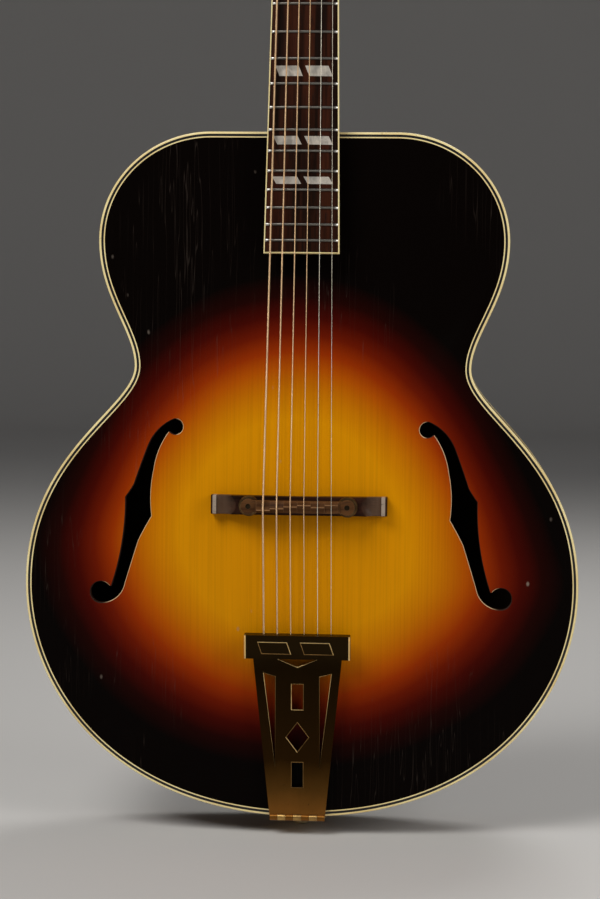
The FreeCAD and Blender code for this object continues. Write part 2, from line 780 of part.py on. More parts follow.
def crown_cylinder(rise):
    """Solid under the cambered playing surface, raised by a distance."""
    axis_level = BOARD_RADIUS - BOARD_THICKNESS
    return cylinder_z(
        BOARD_RADIUS + rise, 0, axis_level, (BOARD_TAIL - RIM_MARGIN, HEAD_START + RIM_MARGIN)
    )


def neck_section(z, depth):
    """Half-ellipse of the neck's back under the fingerboard."""
    half = board_width(z) / 2
    ellipse = Part.Ellipse(Vector(half, 0, z), Vector(0, depth, z), Vector(0, 0, z))
    if half < depth:
        ellipse = Part.Ellipse(Vector(0, depth, z), Vector(half, 0, z), Vector(0, 0, z))
    curve = Part.ArcOfEllipse(ellipse, 0, math.pi).toShape()
    ends = [vertex.Point for vertex in curve.Vertexes]
    return Part.Wire([curve, line(ends[1], ends[0])])


def heel_slice(share):
    """Tongue-shaped level of the heel, from the neck's shaft to the heel cap."""
    level = HEEL_TOP_LEVEL + share * (heel_depth() - HEEL_TOP_LEVEL)
    half = (HEEL_TOP_WIDTH + share * (HEEL_FOOT_WIDTH - HEEL_TOP_WIDTH)) / 2
    length = HEEL_FOOT_LENGTH + (HEEL_TOP_LENGTH - HEEL_FOOT_LENGTH) * (1 - share) ** HEEL_SWEEP
    start = -RIM_MARGIN
    waist = length * HEEL_STRAIGHT_SHARE
    low_left = Vector(-half, level, start)
    low_right = Vector(half, level, start)
    turns = [math.pi * step / HEEL_BOW_STEPS for step in range(HEEL_BOW_STEPS + 1)]
    points = [
        Vector(half * math.cos(turn), level, waist + (length - waist) * math.sin(turn)) for turn in turns
    ]
    bow = Part.BSplineCurve()
    bow.interpolate(Points=points, InitialTangent=Z_AXIS, FinalTangent=-Z_AXIS)
    return Part.Wire(
        [
            line(low_right, points[0]),
            bow.toShape(),
            line(points[-1], low_left),
            line(low_left, low_right),
        ]
    )


def heel_depth():
    """Depth of the wooden heel below the neck's top, leaving room for the cap."""
    return BACK_RIM - NECK_TOP_Y - HEEL_CAP


def clear_of_body(shape):
    """Cut what would reach past the upper face of the ribs."""
    side = UPPER_BOUT
    below = box((-side, side), (-side, side), (JOINT_Z - side, JOINT_Z + GLUE_GAP))
    return shape.cut(below)


def head_plan():
    """Outline of the headstock: concave flares, straight sides, arched crown."""
    foot = BOARD_NUT_WIDTH / 2
    flare = (HEAD_FLARE_WIDTH / 2, HEAD_FLARE_STATION)
    top = (HEAD_TOP_WIDTH / 2, HEAD_TOP_STATION)
    corner = (HEAD_CORNER_WIDTH / 2, HEAD_CORNER_STATION)
    across, along = HEAD_FLARE_BOW
    flare_bow = (foot + (flare[0] - foot) * across, flare[1] * along)
    corner_bow = (top[0], (top[1] + corner[1]) / 2 + HEAD_CORNER_BULGE)
    right = [(foot, 0), flare_bow, flare, top, corner_bow, corner]
    points = [Vector(x, 0, z) for x, z in right]
    opposite = [Vector(-point.x, 0, point.z) for point in points]
    crown = Vector(0, 0, HEAD_LENGTH)
    return Part.Wire(
        [
            line(opposite[0], points[0]),
            arc(points[0], points[1], points[2]),
            line(points[2], points[3]),
            arc(points[3], points[4], points[5]),
            arc(points[5], crown, opposite[5]),
            arc(opposite[5], opposite[4], opposite[3]),
            line(opposite[3], opposite[2]),
            arc(opposite[2], opposite[1], opposite[0]),
        ]
    )


def tuner_places():
    """Side and station of each tuner, in the order of the strings from the lowest."""
    stations = [TUNER_FIRST + index * TUNER_SPACING for index in range(3)]
    bass = [(-1, station) for station in stations]
    treble = [(1, station) for station in reversed(stations)]
    return bass + treble


def at_tuner(shape, place):
    """Copy of a tuner piece at one place of the headstock, mirrored on the bass side."""
    side, station = place
    moved = shifted(shape, x=POST_OFFSET, z=station)
    if side < 0:
        moved = mirrored(moved)
    return placed(moved, HEAD_FRAME)


def truss_bore():
    """Channel of the truss rod along the neck."""
    radius = TRUSS_ROD_RADIUS + SLIP_FIT
    return cylinder_z(radius, 0, TRUSS_ROD_LEVEL, (-TRUSS_ROD_FOOT, HEAD_START + NUT_LENGTH))


def truss_pocket():
    """Recess in the headstock where the rod's nut is reached."""
    half = TRUSS_NUT_RADIUS + CURVED_GAP
    low = HEAD_START + GLUE_GAP
    return box((-half, half), (-RIM_MARGIN, TRUSS_ROD_LEVEL + half), (low, low + 2 * TRUSS_NUT_LENGTH))


def neck():
    """Set neck in one piece: shaft, heel, tongue over the top, tenon and headstock."""
    sections = [neck_section(0.0, NECK_HEEL_DEPTH), neck_section(HEAD_START, NECK_NUT_DEPTH)]
    shaft = Part.makeLoft(sections, True, True)
    heel = Part.makeLoft([heel_slice(index / (HEEL_SLICES - 1)) for index in range(HEEL_SLICES)], True)
    above = clear_of_body(placed(shaft, NECK_FRAME).fuse(placed(heel, NECK_FRAME)))
    tongue_plan = board_plan(TONGUE_INSET, BOARD_TAIL + TONGUE_SETBACK)
    tongue = plan_prism(tongue_plan, (0.0, BOARD_RISE + TOP_ARCH))
    over_body = box((-UPPER_BOUT, UPPER_BOUT), (-RIB_DEPTH, RIB_DEPTH), (BOARD_TAIL, TONGUE_LAP))
    tongue = placed(tongue.common(over_body), NECK_FRAME).cut(shifted(TOP_MASS, y=-CURVED_GAP))
    head = Part.Face(head_plan()).extrude(Vector(0, HEAD_THICKNESS, 0))
    whole = fused([above, tongue, placed(head, HEAD_FRAME), tenon(0.0)])
    bores = [placed(bore, NECK_FRAME) for bore in (truss_bore(), truss_pocket())]
    barrel = cylinder_y(POST_RADIUS + BUSHING_WALL, 0, 0, (-RIM_MARGIN, HEAD_THICKNESS + RIM_MARGIN))
    bores += [at_tuner(barrel, place) for place in tuner_places()]
    return whole.cut(bores)


def heel_cap():
    """Cream plate on the end of the heel."""
    foot = Part.Face(heel_slice(1.0)).extrude(Vector(0, HEEL_CAP - GLUE_GAP, 0))
    return clear_of_body(placed(shifted(foot, y=GLUE_GAP), NECK_FRAME))


def inlay_plans(margin):
    """Slanted pairs of pearl blocks between the marked frets, enlarged by a margin."""
    plans = []
    for fret in INLAY_FRETS:
        upper = NECK_TO_NUT - fret_distance(fret - 1)
        lower = NECK_TO_NUT - fret_distance(fret)
        middle = (upper + lower) / 2
        half_height = (upper - lower) / 4 - INLAY_CLEARANCE / 2 + margin
        width = board_width(middle) / 2 - INLAY_MARGIN - INLAY_GAP / 2
        for start in (-width - INLAY_GAP / 2, INLAY_GAP / 2):
            left = start - margin
            right = start + width + margin
            skew = INLAY_SKEW / 2
            plans.append(
                [
                    (left - skew, middle + half_height),
                    (right - skew, middle + half_height),
                    (right + skew, middle - half_height),
                    (left + skew, middle - half_height),
                ]
            )
    return plans


def fingerboard():
    """Cambered rosewood board with pockets for the inlays."""
    inner = board_plan(BOARD_BINDING, BOARD_TAIL + BOARD_BINDING)
    levels = (-BOARD_THICKNESS - RIM_MARGIN, -GLUE_GAP)
    board = plan_prism(inner, levels).common(crown_cylinder(0.0))
    pocket_levels = (-BOARD_THICKNESS - RIM_MARGIN, INLAY_DEPTH - BOARD_THICKNESS + GLUE_GAP)
    pockets = [plan_prism(plan, pocket_levels) for plan in inlay_plans(GLUE_GAP)]
    return placed(board.cut(pockets), NECK_FRAME)


def fingerboard_binding():
    """Cream strip along both sides and across the end of the fingerboard."""
    levels = (-BOARD_THICKNESS - RIM_MARGIN, -GLUE_GAP)
    outer = plan_prism(board_plan(0.0, BOARD_TAIL), levels).common(crown_cylinder(0.0))
    inset = BOARD_BINDING - GLUE_GAP
    inner = board_plan(inset, BOARD_TAIL + inset)
    inner[2] = (inner[2][0], HEAD_START)
    inner[3] = (inner[3][0], HEAD_START)
    return placed(outer.cut(plan_prism(inner, (levels[0], RIM_MARGIN))), NECK_FRAME)


def fret_inlays():
    """Pearl blocks, flush with the playing surface."""
    levels = (-BOARD_THICKNESS - RIM_MARGIN, INLAY_DEPTH - BOARD_THICKNESS)
    crown = crown_cylinder(0.0)
    return [placed(plan_prism(plan, levels).common(crown), NECK_FRAME) for plan in inlay_plans(0.0)]


def frets():
    """Half-round wires bent to the camber of the board."""
    axis_level = BOARD_RADIUS - BOARD_THICKNESS
    seat = -BOARD_THICKNESS - STRING_REST_GAP
    wires = []
    for fret in range(1, FRET_COUNT + 1):
        z = NECK_TO_NUT - fret_distance(fret)
        low = Vector(0, seat, z - FRET_WIDTH / 2)
        high = Vector(0, seat, z + FRET_WIDTH / 2)
        crest = Vector(0, seat - FRET_HEIGHT, z)
        profile = Part.Face(Part.Wire([arc(low, crest, high), line(high, low)]))
        half_angle = math.degrees(math.asin((board_width(z) / 2 - FRET_END_INSET) / BOARD_RADIUS))
        centre = Vector(0, axis_level, z)
        profile.rotate(centre, Z_AXIS, -half_angle)
        wires.append(placed(profile.revolve(centre, Z_AXIS, 2 * half_angle), NECK_FRAME))
    return wires


# Strings


def string_count():
    """Number of strings."""
    return len(STRING_DIAMETERS)


def string_offset(index, spread):
    """Distance of a string from the centre line, the lowest string on the bass side."""
    return spread * (index / (string_count() - 1) - 0.5)


def camber_drop(x):
    """How far the cambered playing surface falls at a distance from the centre line."""
    return BOARD_RADIUS - math.sqrt(BOARD_RADIUS ** 2 - x ** 2)


def saddle_point(index):
    """Where a string's centre line crosses the saddle."""
    x = string_offset(index, SADDLE_SPREAD)
    level = camber_drop(x) - BOARD_THICKNESS - SADDLE_ACTION - STRING_DIAMETERS[index] / 2
    station = NECK_TO_NUT - SCALE_LENGTH + COMPENSATION[index]
    return NECK_FRAME.multVec(Vector(x, level, station))


def nut_point(index):
    """Where a string's centre line crosses the front land of the nut, in the neck's frame."""
    x = string_offset(index, NUT_SPREAD)
    level = camber_drop(x) - BOARD_THICKNESS - NUT_ACTION - STRING_DIAMETERS[index] / 2
    return Vector(x, level, NECK_TO_NUT + GLUE_GAP + NUT_LAND / 2)


def wrap_radius(index):
    """Radius of the string's centre line round its post."""
    return POST_WAIST_RADIUS + STRING_DIAMETERS[index] / 2 + STRING_REST_GAP


def wrap_start(index):
    """Point and side where a string reaches its post, in the headstock's frame."""
    side, station = tuner_places()[index]
    start = HEAD_FRAME.inverse().multVec(NECK_FRAME.multVec(nut_point(index)))
    radius = wrap_radius(index)
    across = side * POST_OFFSET - start.x
    along = station - start.z
    reach = math.hypot(across, along)
    heading = math.atan2(along, across) + side * math.asin(radius / reach)
    run = math.sqrt(reach ** 2 - radius ** 2)
    level = -OVERLAY - BUSHING_FLANGE - WRAP_START
    return Vector(start.x + run * math.cos(heading), level, start.z + run * math.sin(heading))


def wrap_stations(index):
    """Points and directions of the turns on a post, a quarter turn apart, in the headstock's frame."""
    side, station = tuner_places()[index]
    first = wrap_start(index)
    radius = wrap_radius(index)
    pitch = STRING_DIAMETERS[index] + WRAP_GAP
    start_angle = math.atan2(first.z - station, first.x - side * POST_OFFSET)
    stations = []
    for quarter in range(1, int(4 * WRAP_TURNS) + 1):
        angle = start_angle - side * quarter * math.pi / 2
        point = Vector(
            side * POST_OFFSET + radius * math.cos(angle),
            first.y - pitch * quarter / 4,
            station + radius * math.sin(angle),
        )
        heading = Vector(
            side * math.sin(angle) * radius, -pitch / (2 * math.pi), -side * math.cos(angle) * radius
        )
        stations.append((point, heading.normalize()))
    return stations


def biarc(start, start_heading, end, end_heading):
    """Two tangent arcs between two points with given directions."""
    chord = end - start
    turn = 2 * (1 - start_heading.dot(end_heading))
    along = 2 * chord.dot(start_heading + end_heading)
    reach = (math.sqrt(along ** 2 + 4 * turn * chord.dot(chord)) - along) / (2 * turn)
    first_corner = start + start_heading * reach
    last_corner = end - end_heading * reach
    middle = (first_corner + last_corner) * 0.5
    return [tangent_arc(start, first_corner, middle), tangent_arc(middle, last_corner, end)]


def tangent_arc(start, corner, end):
    """Arc that leaves one point towards a corner and reaches the other from it."""
    inward = ((start + end) * 0.5 - corner).normalize()
    half_turn = math.pi / 2 - (start - corner).getAngle(inward)
    side = (start - corner).Length
    radius = side / math.tan(half_turn)
    bulge = radius / math.cos(half_turn) - radius
    return arc(start, corner + inward * bulge, end)


def bend(before, corner, after, radius):
    """Rounded corner: the arc's ends and its edge."""
    back = (before - corner).normalize()
    ahead = (after - corner).normalize()
    setback = radius / math.tan(back.getAngle(ahead) / 2)
    start = corner + back * setback
    end = corner + ahead * setback
    return start, end, tangent_arc(start, corner, end)


def string_holes():
    """Where the strings pass through the tailpiece bar, in the tailpiece's frame."""
    seat = BAR_START + BAR_HEIGHT - BAR_TOP_WALL - BALL_RADIUS - GLUE_GAP
    level = PLATE_THICKNESS / 2 - BALL_RADIUS - GLUE_GAP
    return [Vector(string_offset(index, SADDLE_SPREAD), level, seat) for index in range(string_count())]


def string(index):
    """One string from its ball end over the saddle and nut to its turns on the post."""
    anchor = TAIL_FRAME.multVec(string_holes()[index])
    saddle = saddle_point(index)
    nut_bend = NECK_FRAME.multVec(nut_point(index))
    post = HEAD_FRAME.multVec(wrap_start(index))
    saddle_in, saddle_out, saddle_arc = bend(anchor, saddle, nut_bend, STRING_BEND_RADIUS)
    nut_in, nut_out, nut_arc = bend(saddle, nut_bend, post, STRING_BEND_RADIUS)
    edges = [
        line(anchor, saddle_in),
        saddle_arc,
        line(saddle_out, nut_in),
        nut_arc,
        line(nut_out, post),
    ]
    place = post
    heading = (post - nut_bend).normalize()
    for local_point, local_heading in wrap_stations(index):
        point = HEAD_FRAME.multVec(local_point)
        direction = HEAD_FRAME.Rotation.multVec(local_heading)
        edges += biarc(place, heading, point, direction)
        place = point
        heading = direction
    edges.append(line(place, place + heading * 2 * STRING_DIAMETERS[index]))
    path = Part.Wire(edges)
    radius = STRING_DIAMETERS[index] / 2
    section = Part.Wire([Part.Circle(anchor, saddle - anchor, radius).toShape()])
    tube = path.makePipeShell([section], True, False)
    expected = math.pi * radius ** 2 * path.Length
    print("string", index + 1, "tube volume over section times length", round(tube.Volume / expected, 4))
    print("string", index + 1, "least gap between turns", round(turn_gap(index), 3))
    return tube.fuse(Part.makeSphere(BALL_RADIUS, anchor))


def turn_gap(index):
    """Least clear distance between the turns on a post, measured on their stations."""
    points = [wrap_start(index)] + [point for point, heading in wrap_stations(index)]
    gaps = [
        (points[later] - points[earlier]).Length
        for earlier in range(len(points))
        for later in range(earlier + 3, len(points))
    ]
    return min(gaps) - STRING_DIAMETERS[index]


# Nut and headstock pieces


def nut():
    """Bone nut with a slot for each string, bevelled towards the headstock."""
    start = NECK_TO_NUT + GLUE_GAP
    crest = -BOARD_THICKNESS - NUT_ACTION - NUT_SHOULDER
    drop = (NUT_LENGTH - NUT_LAND) * math.tan(math.radians(NUT_BEVEL))
    profile = [
        (-GLUE_GAP, start),
        (crest, start),
        (crest, start + NUT_LAND),
        (crest + drop, start + NUT_LENGTH),
        (-GLUE_GAP, start + NUT_LENGTH),
    ]
    half = BOARD_NUT_WIDTH / 2
    blank = side_prism(profile, (-half, half)).common(crown_cylinder(NUT_ACTION + NUT_SHOULDER))
    to_neck = NECK_FRAME.inverse()
    slots = []
    for index in range(string_count()):
        point = nut_point(index)
        radius = STRING_DIAMETERS[index] / 2 + STRING_REST_GAP
        cutter = box((-radius, radius), (-RIM_MARGIN, radius), (-GLUE_GAP, NUT_LENGTH + NUT_LAND))
        to_saddle = FreeCAD.Rotation(Z_AXIS, point - to_neck.multVec(saddle_point(index)))
        to_post = FreeCAD.Rotation(Z_AXIS, to_neck.multVec(HEAD_FRAME.multVec(wrap_start(index))) - point)
        slots.append(placed(shifted(cutter, z=-NUT_LENGTH), FreeCAD.Placement(point, to_saddle)))
        slots.append(placed(cutter, FreeCAD.Placement(point, to_post)))
    return placed(blank.cut(slots), NECK_FRAME)


def cover_plan():
    """Rounded, tapered outline of the truss rod cover."""
    foot = COVER_WIDTH / 2
    tip = COVER_TIP_WIDTH / 2
    top = COVER_START + COVER_LENGTH
    low_left = Vector(-foot, 0, COVER_START)
    low_right = Vector(foot, 0, COVER_START)
    high_left = Vector(-tip, 0, top - tip)
    high_right = Vector(tip, 0, top - tip)
    return Part.Wire(
        [
            line(low_left, low_right),
            line(low_right, high_right),
            arc(high_right, Vector(0, 0, top), high_left),
            line(high_left, low_left),
        ]
    )


def cover_screw_places():
    """Stations of the two cover screws on the centre line."""
    edge = COVER_TIP_WIDTH / 2
    return [COVER_START + edge / 2, COVER_START + COVER_LENGTH - edge]


def headstock_overlay():
    """Black veneer on the face of the headstock, cut round the posts and the truss rod pocket."""
    veneer = Part.Face(head_plan()).extrude(Vector(0, -OVERLAY + GLUE_GAP, 0))
    bores = [placed(truss_pocket(), NECK_FRAME)]
    barrel = cylinder_y(POST_RADIUS + BUSHING_WALL, 0, 0, (-RIM_MARGIN, RIM_MARGIN))
    bores += [at_tuner(barrel, place) for place in tuner_places()]
    shank = cylinder_y(SCREW_BORE_RADIUS, 0, 0, (-RIM_MARGIN, RIM_MARGIN))
    bores += [placed(shifted(shank, z=station), HEAD_FRAME) for station in cover_screw_places()]
    return placed(shifted(veneer, y=-GLUE_GAP), HEAD_FRAME).cut(bores)


def truss_rod():
    """Threaded rod in the neck with its nut in the headstock pocket."""
    start = HEAD_START + 2 * GLUE_GAP
    rod = cylinder_z(TRUSS_ROD_RADIUS, 0, TRUSS_ROD_LEVEL, (-TRUSS_ROD_FOOT, start + TRUSS_NUT_LENGTH / 2))
    sides = range(6)
    corners = [
        Vector(
            TRUSS_NUT_RADIUS * math.cos(math.pi * side / 3),
            TRUSS_ROD_LEVEL + TRUSS_NUT_RADIUS * math.sin(math.pi * side / 3),
            start,
        )
        for side in sides
    ]
    hexagon = Part.Face(Part.makePolygon(corners + corners[:1]))
    return placed(fused([rod, hexagon.extrude(Vector(0, 0, TRUSS_NUT_LENGTH))]), NECK_FRAME)


def truss_rod_cover():
    """Plain cover over the truss rod pocket."""
    plate = Part.Face(cover_plan()).extrude(Vector(0, -COVER_THICKNESS, 0))
    shank = cylinder_y(SCREW_BORE_RADIUS, 0, 0, (-RIM_MARGIN, RIM_MARGIN))
    bores = [shifted(shank, z=station) for station in cover_screw_places()]
    return placed(shifted(plate, y=-OVERLAY - GLUE_GAP).cut(bores), HEAD_FRAME)


def cover_screws():
    """Round-headed screws of the truss rod cover."""
    front = -OVERLAY - COVER_THICKNESS - 2 * GLUE_GAP
    shank = cylinder_y(SCREW_BORE_RADIUS - SLIP_FIT, 0, 0, (front, -OVERLAY))
    head = cylinder_y(SCREW_HEAD_RADIUS, 0, 0, (front - SCREW_HEAD, front))
    screw = fused([shank, head])
    return [placed(shifted(screw, z=station), HEAD_FRAME) for station in cover_screw_places()]


# Tuners, each drawn for the treble side with its post on the Y axis


GEAR_PITCH_RADIUS = GEAR_MODULE * GEAR_TEETH / 2
WORM_LEAD = math.pi * GEAR_MODULE
WORM_DROP = GEAR_PITCH_RADIUS + WORM_PITCH_RADIUS
PLATE_BACK = HEAD_THICKNESS + GLUE_GAP + TUNER_PLATE
GEAR_FRONT = PLATE_BACK + GEAR_LIFT
WORM_LEVEL = GEAR_FRONT + GEAR_WIDTH / 2
THREAD_OUTER = WORM_PITCH_RADIUS + GEAR_MODULE
EAR_START = WORM_LENGTH / 2 + EAR_GAP


def gear():
    """Spur gear with straight-flanked teeth and a gap facing the worm."""
    root = GEAR_PITCH_RADIUS - TOOTH_DEPTH
    tip = GEAR_PITCH_RADIUS + TOOTH_HEIGHT
    half_pitch = math.pi / GEAR_TEETH
    half_tooth = TOOTH_THICKNESS / 2 / GEAR_PITCH_RADIUS
    corners = []
    for tooth in range(GEAR_TEETH):
        middle = -math.pi / 2 + half_pitch * (2 * tooth + 1)
        flank = [
            (root, -TOOTH_ROOT_SHARE * half_tooth),
            (tip, -TOOTH_TIP_SHARE * half_tooth),
            (tip, TOOTH_TIP_SHARE * half_tooth),
            (root, TOOTH_ROOT_SHARE * half_tooth),
        ]
        corners += [
            (radius * math.cos(middle + turn), radius * math.sin(middle + turn)) for radius, turn in flank
        ]
    return plan_prism(corners, (GEAR_FRONT, GEAR_FRONT + GEAR_WIDTH))


def tuner_post():
    """String post with its gear and the gear's screw on the lower end."""
    front = -OVERLAY - BUSHING_FLANGE - POST_HEIGHT
    shoulder = -OVERLAY - BUSHING_FLANGE - WRAP_START / 2
    rear = GEAR_FRONT + GEAR_WIDTH
    end = rear + GEAR_SCREW_HEAD
    profile = [
        Vector(0, front, 0),
        Vector(POST_RADIUS, front, 0),
        Vector(POST_RADIUS, front + POST_HEAD, 0),
        Vector(POST_WAIST_RADIUS, front + POST_HEAD + POST_TAPER, 0),
        Vector(POST_WAIST_RADIUS, shoulder - POST_SHOULDER, 0),
        Vector(POST_RADIUS, shoulder, 0),
        Vector(POST_RADIUS, rear, 0),
        Vector(GEAR_SCREW_RADIUS, rear, 0),
        Vector(GEAR_SCREW_RADIUS, end, 0),
        Vector(0, end, 0),
    ]
    post = Part.Face(Part.makePolygon(profile + profile[:1])).revolve(Vector(0, 0, 0), Y_AXIS, 360)
    hole = cylinder_x(POST_HOLE_RADIUS, front + POST_HOLE_DROP, 0, (-RIM_MARGIN, RIM_MARGIN))
    half_slot = GEAR_SCREW_SLOT / 2
    slot_levels = (end - GEAR_SCREW_SLOT, end + RIM_MARGIN)
    slot = box((-half_slot, half_slot), slot_levels, (-RIM_MARGIN, RIM_MARGIN))
    return fused([post, gear()]).cut([hole, slot])


def worm_thread():
    """Single-start thread whose crest faces the gear at the middle of the worm."""
    length = WORM_LEAD * WORM_TURNS
    helix = Part.makeHelix(WORM_LEAD, length, WORM_PITCH_RADIUS)
    corners = [
        Vector(THREAD_SEAT_RADIUS, 0, -THREAD_ROOT / 2),
        Vector(THREAD_OUTER, 0, -THREAD_TIP / 2),
        Vector(THREAD_OUTER, 0, THREAD_TIP / 2),
        Vector(THREAD_SEAT_RADIUS, 0, THREAD_ROOT / 2),
    ]
    section = Part.makePolygon(corners + corners[:1])
    thread = Part.Wire(helix.Edges).makePipeShell([section], True, True)
    thread.translate(Vector(0, 0, -length / 2))
    thread.rotate(Vector(0, 0, 0), Z_AXIS, -180 * WORM_TURNS)
    thread.rotate(Vector(0, 0, 0), Y_AXIS, 90)
    thread.rotate(Vector(0, 0, 0), X_AXIS, 180)
    return thread


def tuner_key():
    """Worm, shaft and metal button that turn together."""
    inner_end = -EAR_START - EAR_THICKNESS - EAR_GAP
    shaft = cylinder_x(SHAFT_RADIUS, 0, 0, (inner_end, BUTTON_OFFSET + BUTTON_LENGTH / 2))
    collar = cylinder_x(COLLAR_RADIUS, 0, 0, (BUTTON_OFFSET - COLLAR_REACH, BUTTON_OFFSET + COLLAR_REACH))
    middle = Vector(BUTTON_OFFSET + BUTTON_LENGTH / 2, -BUTTON_THICKNESS / 2, 0)
    oval = Part.Ellipse(middle + Z_AXIS * BUTTON_WIDTH / 2, middle + X_AXIS * BUTTON_LENGTH / 2, middle)
    blank = Part.Face(Part.Wire([oval.toShape()])).extrude(Vector(0, BUTTON_THICKNESS, 0))
    rims = [edge for edge in blank.Edges if len(edge.Vertexes) == 1]
    button = blank.makeFillet(BUTTON_ROUND, rims)
    return shifted(shaft.fuse([worm_thread(), collar, button]), y=WORM_LEVEL, z=-WORM_DROP)


def tuner_plate():
    """Base plate with two ears that carry the worm shaft."""
    half = EAR_START + EAR_THICKNESS
    low = -WORM_DROP - EAR_WIDTH / 2
    outline = [(-half, low), (half, low), (half, PLATE_MARGIN), (-half, PLATE_MARGIN)]
    base = plan_prism(outline, (PLATE_BACK - TUNER_PLATE, PLATE_BACK))
    ear_levels = (PLATE_BACK - TUNER_PLATE, WORM_LEVEL + EAR_WIDTH / 2)
    ear_span = (low, low + EAR_WIDTH)
    ears = [
        box((EAR_START, half), ear_levels, ear_span),
        box((-half, -EAR_START), ear_levels, ear_span),
    ]
    bores = [
        cylinder_x(SHAFT_RADIUS + RUNNING_FIT, WORM_LEVEL, -WORM_DROP, (-RIM_MARGIN * 2, RIM_MARGIN * 2)),
        cylinder_y(POST_RADIUS + RUNNING_FIT, 0, 0, (0, PLATE_BACK + RIM_MARGIN)),
    ]
    through = (0, PLATE_BACK + RIM_MARGIN)
    bores += [cylinder_y(SCREW_BORE_RADIUS, x, z, through) for x, z in plate_screw_places()]
    return fused([base] + ears).cut(bores)


def plate_screw_places():
    """Places of a tuner's two screws, beside the gear."""
    across = EAR_START + EAR_THICKNESS - SCREW_HEAD_RADIUS
    along = PLATE_MARGIN - SCREW_HEAD_RADIUS
    return [(-across, along), (across, along)]


def tuner_screws():
    """The two round-headed screws of one tuner plate."""
    seat = PLATE_BACK + GLUE_GAP
    screws = []
    for x, z in plate_screw_places():
        shank = cylinder_y(SCREW_BORE_RADIUS - SLIP_FIT, x, z, (PLATE_BACK - TUNER_PLATE, seat))
        head = cylinder_y(SCREW_HEAD_RADIUS, x, z, (seat, seat + SCREW_HEAD))
        screws.append(fused([shank, head]))
    return screws


def tuner_bushing():
    """Flanged bush that guides the post through the face of the headstock."""
    front = -OVERLAY - GLUE_GAP
    flange = cylinder_y(BUSHING_RADIUS, 0, 0, (front - BUSHING_FLANGE + GLUE_GAP, front))
    barrel = cylinder_y(POST_RADIUS + BUSHING_WALL - SLIP_FIT, 0, 0, (front, BUSHING_DEPTH))
    bore = cylinder_y(POST_RADIUS + RUNNING_FIT, 0, 0, (front - RIM_MARGIN, BUSHING_DEPTH + RIM_MARGIN))
    return fused([flange, barrel]).cut(bore)


# Bridge


SADDLE_CENTRE = NECK_FRAME.multVec(
    Vector(0, -BOARD_THICKNESS - SADDLE_ACTION, NECK_TO_NUT - SCALE_LENGTH)
)
BRIDGE_Z = SADDLE_CENTRE.z
SADDLE_FOOT = SADDLE_CENTRE.y + SADDLE_HEIGHT
WHEEL_FRONT = SADDLE_FOOT + GLUE_GAP
BASE_FRONT = WHEEL_FRONT + WHEEL_THICKNESS + LOWERING_ROOM
STUD_X = STUD_SPACING / 2


def bridge_base():
    """Rosewood base fitted to the arch, with gouged wings and two feet."""
    half = BRIDGE_LENGTH / 2
    across = (BRIDGE_Z - BRIDGE_WIDTH / 2, BRIDGE_Z + BRIDGE_WIDTH / 2)
    blank = box((-half, half), (BASE_FRONT, TOP_RIM), across)
    slope = math.atan2(SCOOP_DEPTH, half - SCOOP_START)
    direction = Vector(math.cos(slope), math.sin(slope), 0)
    lift = Vector(math.sin(slope), -math.cos(slope), 0) * SCOOP_RADIUS
    start = Vector(SCOOP_START, BASE_FRONT, BRIDGE_Z) + lift - direction * SCOOP_START / 2
    scoop = Part.makeCylinder(SCOOP_RADIUS, BRIDGE_LENGTH, start, direction)
    relief = shifted(TOP_MASS, y=-FOOT_RELIEF_DEPTH).common(
        box((-FOOT_RELIEF_WIDTH / 2, FOOT_RELIEF_WIDTH / 2), (TOP_RIM - RIB_DEPTH, TOP_RIM), across)
    )
    levels = (BASE_FRONT - RIM_MARGIN, BASE_FRONT + STUD_ANCHOR)
    bores = [cylinder_y(STUD_RADIUS + SLIP_FIT, x, BRIDGE_Z, levels) for x in (-STUD_X, STUD_X)]
    fitted = blank.cut(shifted(TOP_MASS, y=-CURVED_GAP))
    return fitted.cut(both_sides(scoop) + [relief] + bores)


def bridge_studs():
    """Threaded studs that stand in the base and guide the saddle."""
    tip = SADDLE_FOOT - SADDLE_END_HEIGHT + STUD_TIP_DROP
    levels = (tip, BASE_FRONT + STUD_ANCHOR - GLUE_GAP)
    return [cylinder_y(STUD_RADIUS, x, BRIDGE_Z, levels) for x in (-STUD_X, STUD_X)]


def thumbwheel(x):
    """Threaded wheel that carries one end of the saddle."""
    levels = (WHEEL_FRONT, WHEEL_FRONT + WHEEL_THICKNESS)
    disc = cylinder_y(WHEEL_RADIUS, x, BRIDGE_Z, levels)
    rims = [edge for edge in disc.Edges if len(edge.Vertexes) == 1]
    through = (WHEEL_FRONT - RIM_MARGIN, WHEEL_FRONT + RIM_MARGIN)
    bore = cylinder_y(STUD_RADIUS + RUNNING_FIT, x, BRIDGE_Z, through)
    return disc.makeChamfer(WHEEL_CHAMFER, rims).cut(bore)


